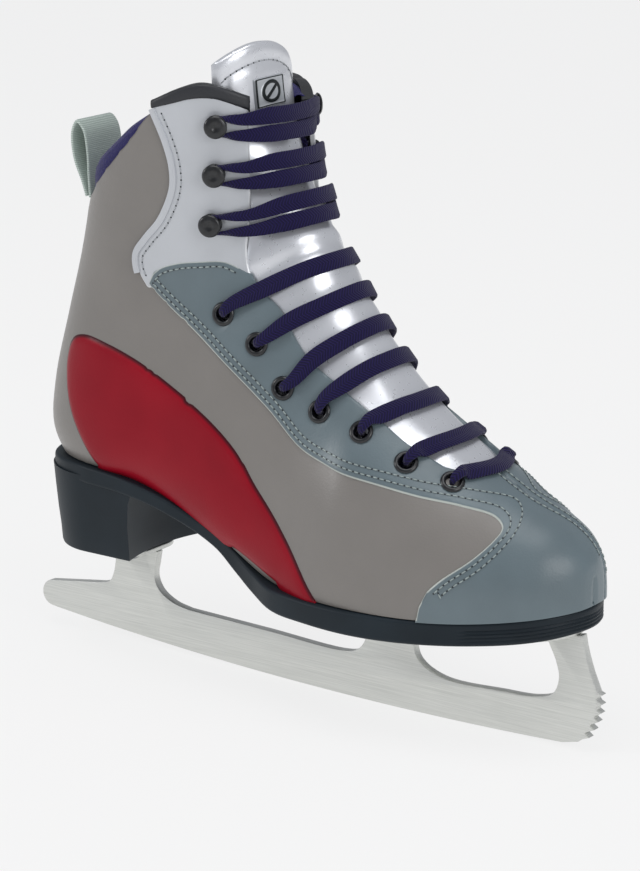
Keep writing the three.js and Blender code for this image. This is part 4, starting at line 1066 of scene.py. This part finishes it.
piece = laid_grid("tongue", 150, 56, tongue_place)
trim(piece, lambda x, y, z, u, turn: beyond(dome_outline, y, z))
for by in (0.5, 1.3, 2.5):
    trim(piece, lambda x, y, z, u, turn: beyond(dome_outline, y, z) + by, keep=True)
outward(piece)
u = read(piece, "section")
y = np.array([v.co.y for v in piece.data.vertices]) / mm
away = from_edge(piece)
depth = tongue_depth(u, y)
# a stitched channel under the top edge, and soft folds where the foam gives across the instep
u_lift = 2.7 * ease(19.0, 20.8, u)
channel = 0.55 * np.exp(-((away - 6.5) / 1.3) ** 2) * ease(18.4, 18.9, u)
folds = 0.6 * np.sin(u * 4.2 + 0.09 * y) * ease(9, 12, u) * (1 - ease(17, 18, u))
reshape(piece, depth + channel + folds + rolled(away, 2.6, 1.2))
for vertex, lift in zip(piece.data.vertices, u_lift):
    vertex.co.z += lift * mm
thicken(piece, 2.6)
write(piece, "edge", np.maximum(read(piece, "edge"), 0.8))
piece.data.materials.append(tongue_leather)
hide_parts("tongue", "tongue_top")
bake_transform(piece, "skate", "tongue_flap", start=(-0.014, 0, 0.2265), end=(-0.017, 0, 0.2400))

arch_u, arch_turn = [], []
for y0, z0 in dome[dome[:, 1] > 246]:
    scale_in = (np.hypot(y0, z0 - 226) - 5.2) / np.hypot(y0, z0 - 226)
    y1, z1 = y0 * scale_in, 226 + (z0 - 226) * scale_in
    low, high = 17.5, 20.9
    s = -1 if y1 < 0 else 1
    for _ in range(30):
        mid = (low + high) / 2
        t = turn_at(np.array([mid]), np.array([abs(y1)]), s)[0]
        if boot(mid, t)[2] / mm > z1:
            high = mid
        else:
            low = mid
    arch_u.append(low)
    arch_turn.append(turn_at(np.array([low]), np.array([abs(y1)]), s)[0])
arch_u, arch_turn = np.array(arch_u), np.array(arch_turn)
arch_y = boot(arch_u, arch_turn)[:, 1] / mm
sewn("tongue_stitching", boot(arch_u, arch_turn, tongue_depth(arch_u, arch_y) + 0.25),
     facing(arch_u, arch_turn),
     cuff_thread, body="tongue_flap")

# ---- Tongue label ----
# A soft moulded patch with a raised dark frame round a plain oval ring, sewn to the tongue's top.
patch_half, patch_middle, patch_low, patch_high = 9.8, -5.0, 19.05, 19.68
def label_place(a, b):
    u = patch_low + (patch_high - patch_low) * b
    return u, turns_across(u, (a * 2 - 1) * patch_half + patch_middle)


label = laid_grid("tongue_label", 34, 44, label_place)
u, turn = read(label, "section"), read(label, "turn")
y = boot(u, turn)[:, 1] / mm - patch_middle
up_share = (u - patch_low) / (patch_high - patch_low) * 2 - 1
frame_line = np.maximum(np.abs(y) / patch_half, np.abs(up_share))
ring = np.hypot(y / 5.2, up_share / 0.62)
inked = np.maximum(np.exp(-((frame_line - 0.88) / 0.05) ** 4), np.exp(-((ring - 1) / 0.2) ** 4))
bar = np.exp(-(np.abs(up_share - y / 9) / 0.16) ** 4) * (ring < 0.8)
inked = np.maximum(inked, bar)
outward(label)
write(label, "ink", inked)
away = from_edge(label)
reshape(label, tongue_depth(u, y + patch_middle) - 0.9 - 0.35 * inked + rolled(away, 1.0, 0.8))
thicken(label, 1.0)
patch, tree, surface = shader("label_patch", metallic=0.5, roughness=0.35)
ink = node(tree, "ShaderNodeAttribute", attribute_name="ink")
coloured(tree, surface, ink.outputs["Fac"], [(0.35, linear(188, 192, 196)), (0.55, linear(28, 34, 36))])
grain = texture(tree, "ShaderNodeTexNoise", Scale=1200.0, Detail=3.0)
raised(tree, surface, grain.outputs["Fac"], 0.15, 0.0003)
label.data.materials.append(patch)
finished(label, "tongue_flap", ["tongue_label"])

# ---- Eyelets and hooks ----
# Black-enamelled brass: seven rolled eyelets down each side of the throat, and three pressed hooks on each
# cuff, riveted through the leather.
enamel, tree, surface = shader("black_enamel", metallic=0.3, roughness=0.22, coat=0.5)
scuffs = texture(tree, "ShaderNodeTexNoise", Scale=900.0, Detail=5.0)
coloured(tree, surface, scuffs.outputs["Fac"], [(0.4, linear(9, 10, 14)), (0.8, linear(30, 33, 38))])
dulled(tree, surface, scuffs.outputs["Fac"], 0.22, 0.45)


def spun(name, profile, steps=40, closed=True):
    """A turned shape: a profile of (radius, height) in mm, spun round the Z axis in edit mode."""
    n = len(profile)
    edges = [(i, i + 1) for i in range(n - 1)] + ([(n - 1, 0)] if closed else [])
    piece = new_piece(name, [(r * mm, 0, h * mm) for r, h in profile], edges, [])
    turn = {"steps": steps, "angle": 2 * math.pi, "center": (0, 0, 0), "axis": (0, 0, 1)}
    in_edit_mode(piece, lambda: bpy.ops.mesh.spin(**turn), merge, face_out)
    return piece


def fitted(model, name, u, y, side, lift=0.0):
    """A copy of a turned model, stood on its seat."""
    point, out, up, _ = seat(u, y, side)
    across = np.cross(up, out)
    turned = Matrix([[across[i], up[i], out[i], point[i] + out[i] * lift * mm] for i in range(3)]
                    + [[0, 0, 0, 1]])
    piece = copy_of(model, name, turned)
    smooth_off(piece, 50)
    return piece


hook_sections = (16.75, 17.9, 19)
hook_y = 29.5
eyelet_profile = flowing([(2.65, -2.6), (2.6, 0.6), (2.9, 1.45), (3.5, 1.8), (4.2, 1.62), (4.7, 1.05),
                          (4.6, 0.8), (3.6, 0.75),
                          (3.1, 0.3), (3.1, -2.2), (4.2, -2.6), (4.2, -2.9), (3.2, -3.1)], 0.3)
eyelet = spun("eyelet", eyelet_profile)
hook_profile = flowing([(0.001, -2.7), (2.8, -2.7), (2.9, -2.3), (1.5, -2.1), (1.5, 0.3), (3.9, 0.5),
                        (4.1, 0.8), (3.8, 1.2),
                        (2.0, 1.4), (1.7, 1.9), (1.7, 3.7), (2.2, 4.3), (4.1, 4.35), (4.5, 4.75), (4.2, 5.3),
                        (2.8, 5.8),
                        (1.5, 5.75), (0.9, 5.4), (0.001, 5.3)], 0.4)
hook = spun("hook", hook_profile, closed=False)
for word, side in sides:
    for i, u in enumerate(eyelet_sections):
        piece = fitted(eyelet, f"eyelet_{word}_{i + 1}", u, float(throat_reach(u)) + eyelet_set_back, side)
        piece.data.materials.append(enamel)
        finished(piece, "skate", [f"eyelet_{word}_{i + 1}"])
    for i, u in enumerate(hook_sections):
        piece = fitted(hook, f"hook_{word}_{i + 1}", u, hook_y, side, 0.1)
        piece.data.materials.append(enamel)
        finished(piece, "skate", [f"hook_{word}_{i + 1}"])
bpy.data.objects.remove(eyelet)
bpy.data.objects.remove(hook)

# ---- Lace ----
# One flat braided lace, 7 mm wide: straight bars from eyelet to eyelet, climbing inside between the rows,
# then round the hooks and back in under the cuffs, with both ends tucked away inside.
lace_braid, tree, surface = shader("lace_braid", roughness=0.8, sheen=0.12, specular=0.2)
along, across = (node(tree, "ShaderNodeAttribute", attribute_name=key).outputs["Fac"]
                 for key in ("run", "across"))
rises = combined(tree, "ABSOLUTE", combined(tree, "MULTIPLY", across, 3.6))
braid = combined(tree, "SINE", combined(tree, "ADD", combined(tree, "MULTIPLY", along, 5200), rises))
coloured(tree, surface, braid, [(0.0, linear(14, 8, 48)), (1.0, linear(28, 19, 76))])
raised(tree, surface, braid, 0.5, 0.0003)
lace_wide, lace_thick, lace_core, inside_depth, bar_height = 7.0, 1.3, 2.4, 4.4, 2.0


def lace_at(u, y, side, height, width=lace_wide, thick=lace_thick, face=None):
    point, out, up, away = seat(u, y, side)
    return point / mm + out * height, face(out, up, away) if face else out, width, thick


def lace_by(at, offsets, face, width, thick):
    point, out, up, away = at
    return point / mm + away * offsets[0] + out * offsets[1] + up * offsets[2], face, width, thick


def through_eyelet(u, side, start, inwards):
    at = seat(u, float(throat_reach(u)) + eyelet_set_back, side)
    _, out, up, away = at
    steps = [
        lace_by(at, (0, -inside_depth, start * 5.2), out, 4, lace_thick),
        lace_by(at, (0, -inside_depth, start * 1.4), out + up * start, 3, 1.4),
        lace_by(at, (0, -3.2, 0), up * start, lace_core, lace_core),
        lace_by(at, (0, -0.6, 0), away, lace_core, lace_core),
        lace_by(at, (0, 1.2, 0), away, 2.8, 2.4),
        lace_by(at, (-1.2, 3.0, 0), out + away, 3.8, 1.8),
        lace_by(at, (-5.4, 2.9, 0), out, 5.2, 1.4)]
    return steps[::-1] if inwards else steps


def bar(row, u, start):
    dip = 0.45 + 0.08 * row
    reach = float(throat_reach(u)) + eyelet_set_back - 5
    steps = []
    for s in (0.94, 0.6, 0.3, 0, -0.3, -0.6, -0.94):
        side = start if s > 0 else -start
        steps.append(lace_at(u - dip * math.cos(math.pi * s / 2.3), abs(s) * reach, side, bar_height))
    return steps


def up_shift(u, y, side, by):
    a, b = seat(u, y, side)[0], seat(u + 0.1, y, side)[0]
    return 0.1 * by / (np.linalg.norm(a - b) / mm)


def round_hook(u, side, start):
    point, out, up, away = seat(u, hook_y, side)
    steps = []
    for s in (1, 0.6, 0.2, -0.2, -0.6, -1):
        turn = s * start * math.pi / 2
        radial = away * math.cos(turn) + up * math.sin(turn)
        steps.append((point / mm + out * 2.75 + radial * 3.15, radial, 2.4, 1.5))
    return steps


route = []
for row, u in enumerate(eyelet_sections):
    start = -1 if row % 2 == 0 else 1
    back = float(throat_reach(u)) + eyelet_set_back
    if row == 0:
        route.append(lace_at(u + 0.9, back, start, -inside_depth))
    route += through_eyelet(u, start, 1 if row == 0 else -1, False) + bar(row, u, start)
    route += through_eyelet(u, -start, 1, True)
    following = eyelet_sections[row + 1] if row + 1 < len(eyelet_sections) else 15.6
    route.append(lace_at(u + (following - u) * 0.5, back, -start, -inside_depth))
for row, u in enumerate(hook_sections):
    dip = 1 - 0.25 * row
    lip = float(throat_reach(u))
    low = up_shift(u, lip, 1, -9.4)

    def strand(s, up, width):
        at = u - dip * math.cos(math.pi * s / 2.3)
        y, side = abs(s) * hook_y, 1 if s > 0 else -1
        return lace_at(at + up_shift(at, y, side, up * (3.1 + 0.4 * (abs(s) < 0.7))), y, side,
                       2.5 + 0.35 * (up > 0), width)

    narrow = lambda s: 4.6 if abs(s) > 0.7 else 6.6
    route += [
        lace_at(u + low, lip + 3, 1, -inside_depth, 5.4),
        lace_at(u + low, lip - 1.2, 1, -4, 5.4),
        lace_at(u + low, lip - 3.4, 1, -1.6, 5, 1.2, lambda out, up, away: -away),
        lace_at(u + low, lip - 3, 1, 0.9, 5, 1.2, lambda out, up, away: out - away),
        lace_at(u + low * 0.85, lip + 0.5, 1, 2.2, 4)]
    route += round_hook(u, 1, -1) + [strand(s, 1, narrow(s)) for s in (0.78, 0.5, 0.25, 0, -0.25, -0.5,
        -0.78)]
    route += round_hook(u, -1, 1) + [strand(s, -1, narrow(s)) for s in (-0.78, -0.5, -0.25, 0, 0.25)]
    dive = up_shift(u, lip, 1, -3.1) - dip * 0.45
    route += [
        lace_at(u + dive, lip - 4.2, 1, 1.2, 5, 1.2, lambda out, up, away: out + away),
        lace_at(u + dive, lip - 3.6, 1, -1.4, 5, 1.2, lambda out, up, away: away),
        lace_at(u + dive, lip - 1.2, 1, -4, 5.4, 1.2, lambda out, up, away: -out)]
packed = np.array([[*p, *(face / np.linalg.norm(face) * 2), w, t] for p, face, w, t in route])
dense = flowing(packed, 1.1)
profiles = np.array([flat_bar(w / 2, t / 2, -t / 2, 3) for w, t in np.maximum(dense[:, 6:8], (1.4, 1.0))])
lace = swept("lace", dense[:, :3] * mm, dense[:, 3:6], profiles)
lace.data.materials.append(lace_braid)
finished(lace, "skate", ["lace"])

# ---- Outsole and heel ----
# One unit of hard dark rubber: a moulded sole with softly rounded rims and fine grip ribs round the toe, and
# a tall heel with a hollow breast.
sole_rubber, tree, surface = shader("sole_rubber", roughness=0.5, specular=0.25)
pores = texture(tree, "ShaderNodeTexNoise", Scale=1100.0, Detail=5.0)
dusty = texture(tree, "ShaderNodeTexNoise", Scale=28.0, Detail=3.0)
coloured(tree, surface, dusty.outputs["Fac"], [(0.35, linear(18, 28, 35)), (0.7, linear(27, 38, 46))])
raised(tree, surface, pores.outputs["Fac"], 0.18, 0.0002)
plan = [
    (-123, 0), (-118.5, -14.5), (-109, -24), (-95, -29), (-74, -30), (-52, -29), (-34, -27.5), (-18, -28),
    (-5, -32.5), (10, -40), (27, -43.5), (44, -44.5), (60, -43), (78, -39.5), (98, -33), (115, -25),
    (126.5, -14.5), (131.5, 0), (126, 17), (115, 27.5), (100, 35), (80, 40), (60, 42), (40, 40), (20, 35),
    (0, 28), (-20, 23), (-40, 22), (-60, 25), (-80, 28.5), (-100, 28.5), (-111.5, 23), (-119.5, 13)]
sole_under = flowing([
    (-136, 75.5), (-122, 76), (-100, 76), (-68, 74), (-50, 69.5), (-27, 59.5), (-16, 51.5), (-4, 46),
    (10, 43.3), (27, 42.8), (57, 42.3), (78, 43), (98, 44.5), (118.5, 47), (132, 49.5), (142, 51)])
under = lambda x: np.interp(x, sole_under[:, 0], sole_under[:, 1])
over = lambda x: np.interp(x, seat_line[:, 0], seat_line[:, 1])


def joined_rings(name, rings):
    """A closed body through rings of as many points each, the last ones folded onto their middle line."""
    count = len(rings[0])
    faces = [(k * count + i, k * count + (i + 1) % count, (k + 1) * count + (i + 1) % count,
              (k + 1) * count + i)
             for k in range(len(rings) - 1) for i in range(count)]
    piece = new_piece(name, [tuple(p * mm) for ring in rings for p in ring], [], faces)
    in_edit_mode(piece, merge, face_out)
    return piece


def moulded(name, outline, low, high, rim, ribs=None, count=150):
    """A plate of a plan outline between two curved faces, its rims rounded by a radius."""
    line = flowing(outline, 0.5, True)
    first, last_one = line[:, 0].argmin(), line[:, 0].argmax()
    roll = np.roll(line, -first, axis=0)
    top = (last_one - first) % len(line)
    near, far = roll[:top + 1], np.vstack([roll[top:], roll[:1]])[::-1]
    turn = np.linspace(0, math.pi, count)
    x = (line[first, 0] + line[last_one, 0]) / 2 - np.cos(turn) * (line[last_one, 0] - line[first, 0]) / 2
    y_near, y_far = (np.interp(x, side[:, 0], side[:, 1]) for side in (near, far))
    ring = np.vstack([np.column_stack([x, y_near]), np.column_stack([x, y_far])[-2:0:-1]])
    middle = np.concatenate([(y_near + y_far) / 2, ((y_near + y_far) / 2)[-2:0:-1]])
    tangent = np.roll(ring, -1, axis=0) - np.roll(ring, 1, axis=0)
    inward = np.column_stack([-tangent[:, 1], tangent[:, 0]]) / np.linalg.norm(tangent, axis=1)[:, None]
    if ((ring.mean(axis=0) - ring) * inward).sum() < 0:
        inward = -inward
    at = lambda inset, z, share=1.0: np.column_stack([
        (ring + inward * inset)[:, 0], middle + ((ring + inward * inset)[:, 1] - middle) * share, z])
    bottoms, tops = low(ring[:, 0]), high(ring[:, 0])
    caps, levels = 8, 24 if ribs else 4
    quarter_turn = (0, 0.4, 0.8, 1.2, 1.5708)
    rings = [at(rim, bottoms, k / caps) for k in range(caps)]
    rings += [at(rim * (1 - math.sin(t)), bottoms + rim * (1 - math.cos(t))) for t in quarter_turn]
    for k in range(1, levels):
        inset = ribs(ring[:, 0], k / levels)[:, None] if ribs else 0
        rings.append(np.column_stack([ring + inward * inset,
                                      bottoms + rim + (tops - bottoms - 2 * rim) * k / levels]))
    rings += [at(rim * (1 - math.cos(t)), tops - rim * (1 - math.sin(t))) for t in quarter_turn]
    rings += [at(rim, tops, k / caps) for k in range(caps - 1, -1, -1)]
    return joined_rings(name, rings)


def toe_ribs(x, share):
    """Grip ribs round the lower half of the toe."""
    return 0.4 * (0.5 - 0.5 * math.cos(share * 10 * math.pi)) * ease(92, 97, x) * (share < 0.8)


sole = moulded("outsole", plan, under, over, 1.3, toe_ribs, 220)
heel_levels = [(45.9, 25.4, -120.2, -71.5), (52, 26.1, -120.6, -71.3), (60, 27.2, -121.5, -71),
               (70, 28.5, -122.3, -69.5),
               (79, 29.3, -123, -66)]


def heel_ring(z, half, back, breast, inset=0.0):
    half, back, breast = half - inset, back + inset, breast - inset
    arc = [(back + half + math.cos(t) * half, math.sin(t) * half) for t in np.linspace(math.pi / 2,
        math.pi * 1.5, 48)]
    side = [(back + half + (breast - back - half) * t, -half) for t in np.linspace(0, 1, 12)[1:-1]]
    hollow = [(breast - 4 * (1 - t * t), t * half) for t in np.linspace(-1, 1, 24)]
    other = [(x, half) for x, _ in side[::-1]]
    return np.array([(x, y, z) for x, y in arc + side + hollow + other])


heel_rings = [heel_ring(44.8, 25.4, -120.2, -71.5, 1.1), heel_ring(45.1, 25.4, -120.2, -71.5, 0.3)]
heel_rings += [heel_ring(*level) for level in heel_levels]
centre = heel_rings[0].mean(axis=0)
heel_rings = [centre + (heel_rings[0] - centre) * k / 4 for k in range(4)] + heel_rings
shut = heel_rings[-1].mean(axis=0)
heel_rings += [shut + (heel_rings[-1] - shut) * k / 3 for k in (2, 1, 0)]
heel = joined_rings("heel", heel_rings)
union = sole.modifiers.new("one_moulding", "BOOLEAN")
union.operation, union.solver, union.object = "UNION", "EXACT", heel
only(sole)
bpy.ops.object.modifier_apply(modifier=union.name)
bpy.data.objects.remove(heel)
smooth_off(sole, 38)
sole.data.materials.append(sole_rubber)
finished(sole, "skate", ["outsole"])

# ---- Blade and plates ----
# One plate of chromed tool steel, 3.8 mm thick, with a ground bottom edge, windows between the posts and
# picks at the toe. It stands on two screwed plates, one under the sole and one under the heel.
steel, tree, surface = shader("brushed_steel", metallic=0.7, roughness=0.38)
stretch = texture(tree, "ShaderNodeMapping", Scale=(40, 900, 2600))
brushed = node(tree, "ShaderNodeTexNoise", Scale=1.0, Detail=6.0, Roughness=0.7)
tree.links.new(stretch.outputs["Vector"], brushed.inputs["Vector"])
coloured(tree, surface, brushed.outputs["Fac"], [(0.3, linear(198, 200, 196)), (0.7, linear(222, 223, 219))])
clouds = texture(tree, "ShaderNodeTexNoise", Scale=45.0, Detail=3.0)
dulled(tree, surface, clouds.outputs["Fac"], 0.3, 0.5)
raised(tree, surface, brushed.outputs["Fac"], 0.12, 0.0001)
plate_under, heel_under, half = 2.3, 44.8, 1.9
rocker = lambda x: 1760 - math.sqrt(1760 ** 2 - (x - 38) ** 2)
bottom = [(x, rocker(x)) for x in np.arange(-130, 121, 5.0)] + [(127, 3.6)]
picks = []
for i in range(6):
    t = i / 5.4
    x, z = 129.6 + 5.2 * t + 2.2 * math.sin(math.pi * t), 5.2 + 18.6 * t
    picks += [(x - 0.4, z), (x + 2.4 - 0.4 * t, z + 1 + 0.9 * t), (x + 0.2, z + 2.5)]
front = flowing([(134, 27.4), (131.6, 33), (128.6, 42.6), (126, 60)], 1.5)
front_window = flowing([(51, 60), (51.2, 29), (54, 21.6), (64.8, 16.6), (92.4, 16.9), (108, 18), (115.6, 21),
                        (118, 27.5),
                        (116.6, 34), (112, 44), (110, 60)], 1.0)[::-1]
mid_left = flowing([(-20.2, 19.3), (17, 18.3), (24, 19.8), (28, 24), (29.5, 31), (29.5, 60)], 1.0)[::-1]
rear_window = flowing([(-74.2, 50), (-76.6, 38), (-77.6, 31.5), (-75, 26), (-68, 21.9), (-60, 20.3)],
                      1.0)[::-1]
rear_post = flowing([(-106.3, 23.6), (-101.5, 25.2), (-99.2, 29.5), (-98, 36), (-97.5, 50)], 1.0)[::-1]
tail = [(-132.6 + 5.6 * math.cos(math.radians(a)), 14 + 5.6 * math.sin(math.radians(a)))
        for a in np.linspace(95, 265, 24)]
head_top = lambda x: heel_under - plate_under if x < 0 else float(under(x)) - plate_under


def below_head(line):
    """The part of a line that climbs to the plate, cut off where it meets it."""
    line = [tuple(p) for p in line]
    over_head = [z > head_top(x) for x, z in line]
    found = []
    for i, (point, high) in enumerate(zip(line, over_head)):
        if i and high != over_head[i - 1]:
            (x0, z0), (x1, z1) = line[i - 1], point
            share = (head_top(x0) - z0) / ((z1 - z0) or 1)
            found.append((x0 + (x1 - x0) * share, head_top(x0 + (x1 - x0) * share)))
        if not high:
            found.append(point)
    return found


front, front_window, mid_left, rear_window, rear_post = map(below_head,
    (front, front_window, mid_left, rear_window, rear_post))
heads = lambda a, b: [(x, head_top(x)) for x in np.linspace(a[0], b[0], 9)[1:-1]]
shape = (bottom + picks + front + heads(front[-1], front_window[0]) + front_window + heads(front_window[-1],
    mid_left[0])
         + mid_left + rear_window + heads(rear_window[-1], rear_post[0]) + rear_post + tail)
kept = [shape[0]]
for point in shape[1:]:
    if math.dist(point, kept[-1]) > 0.25:
        kept.append(point)
blade = new_piece("blade", [(x * mm, -half * mm, z * mm) for x, z in kept], [], [tuple(range(len(kept)))])
thickness = {"value": (0, 2 * half * mm, 0)}
in_edit_mode(blade, lambda: bpy.ops.mesh.extrude_region_move(TRANSFORM_OT_translate=thickness), face_out)
eased = blade.modifiers.new("eased_edges", "BEVEL")
eased.width, eased.segments, eased.limit_method, eased.angle_limit = 0.00028, 2, "ANGLE", math.radians(60)
bpy.ops.object.modifier_apply(modifier=eased.name)
smooth_off(blade, 30)
blade.data.materials.append(steel)
finished(blade, "skate", ["blade"])
sole_plate = moulded("sole_plate", [
    (22, -14), (40, -20), (66, -22), (100, -17), (122, -9), (126, 0), (122, 9), (100, 17), (66, 22), (40, 20),
    (22, 14), (18, 0)],
    lambda x: under(x) - plate_under, lambda x: under(x) - 0.3, 0.45)
heel_plate = moulded("heel_plate", [
    (-114, -10), (-105, -17), (-84, -17), (-77, -10), (-76, 0), (-77, 10), (-84, 17), (-105, 17), (-114, 10),
    (-116, 0)],
    lambda x: 0 * x + heel_under - plate_under, lambda x: 0 * x + heel_under - 0.3, 0.45)
for piece, name in ((sole_plate, "sole_plate"), (heel_plate, "heel_plate")):
    smooth_off(piece, 40)
    piece.data.materials.append(steel)
    finished(piece, "skate", [name])

# ---- Screws ----
# Ten pan-head screws with cross recesses hold the plates to the sole and the heel.
screw_steel, tree, surface = shader("screw_steel", metallic=1.0, roughness=0.32)
turned = texture(tree, "ShaderNodeTexNoise", Scale=1500.0, Detail=4.0)
coloured(tree, surface, turned.outputs["Fac"], [(0.35, linear(150, 152, 154)), (0.7, linear(196, 197, 198))])
raised(tree, surface, turned.outputs["Fac"], 0.1, 0.0001)
screw = spun("screw", [(0.0, -1.6), (1.4, -1.55), (2.5, -1.25), (3.2, -0.8), (3.5, -0.35), (3.45, 0),
                       (1.9, 0.05), (1.9, 9.6),
                       (1.2, 10.8), (0.0, 11.6)], 32, False)
bpy.ops.mesh.primitive_cube_add(size=1, location=(0, 0, -0.0013))
cross = bpy.context.object
cross.name = "cross_recess"
bpy.ops.object.mode_set(mode="EDIT")
bpy.ops.mesh.select_all(action="SELECT")
bpy.ops.transform.resize(value=(0.0036, 0.0007, 0.0012), center_override=(0, 0, -0.0013))
bpy.ops.mesh.duplicate()
bpy.ops.transform.rotate(value=math.pi / 2, orient_axis="Z", center_override=(0, 0, -0.0013))
bpy.ops.object.mode_set(mode="OBJECT")
cut = screw.modifiers.new("cross", "BOOLEAN")
cut.operation, cut.solver, cut.object, cut.use_self = "DIFFERENCE", "EXACT", cross, True
only(screw)
bpy.ops.object.modifier_apply(modifier=cut.name)
bpy.data.objects.remove(cross)
screw_spots = [("heel", -105, 10), ("heel", -83, 10), ("sole", 36, 13), ("sole", 66, 15), ("sole", 98, 11)]
for i, (kind, x, y) in enumerate(screw_spots):
    for word, side in sides:
        name = f"{kind}_screw_{word}_{i + 1}"
        z = (heel_under if kind == "heel" else float(under(x))) - plate_under - 0.4
        spot = Matrix.Translation((x * mm, side * y * mm, z * mm))
        piece = copy_of(screw, name, spot @ Matrix.Rotation(0.7 * i + side * 0.4, 4, "Z"))
        smooth_off(piece, 35)
        piece.data.materials.append(screw_steel)
        finished(piece, "skate", [name])
bpy.data.objects.remove(screw)
dress(["shank"], screw_steel)
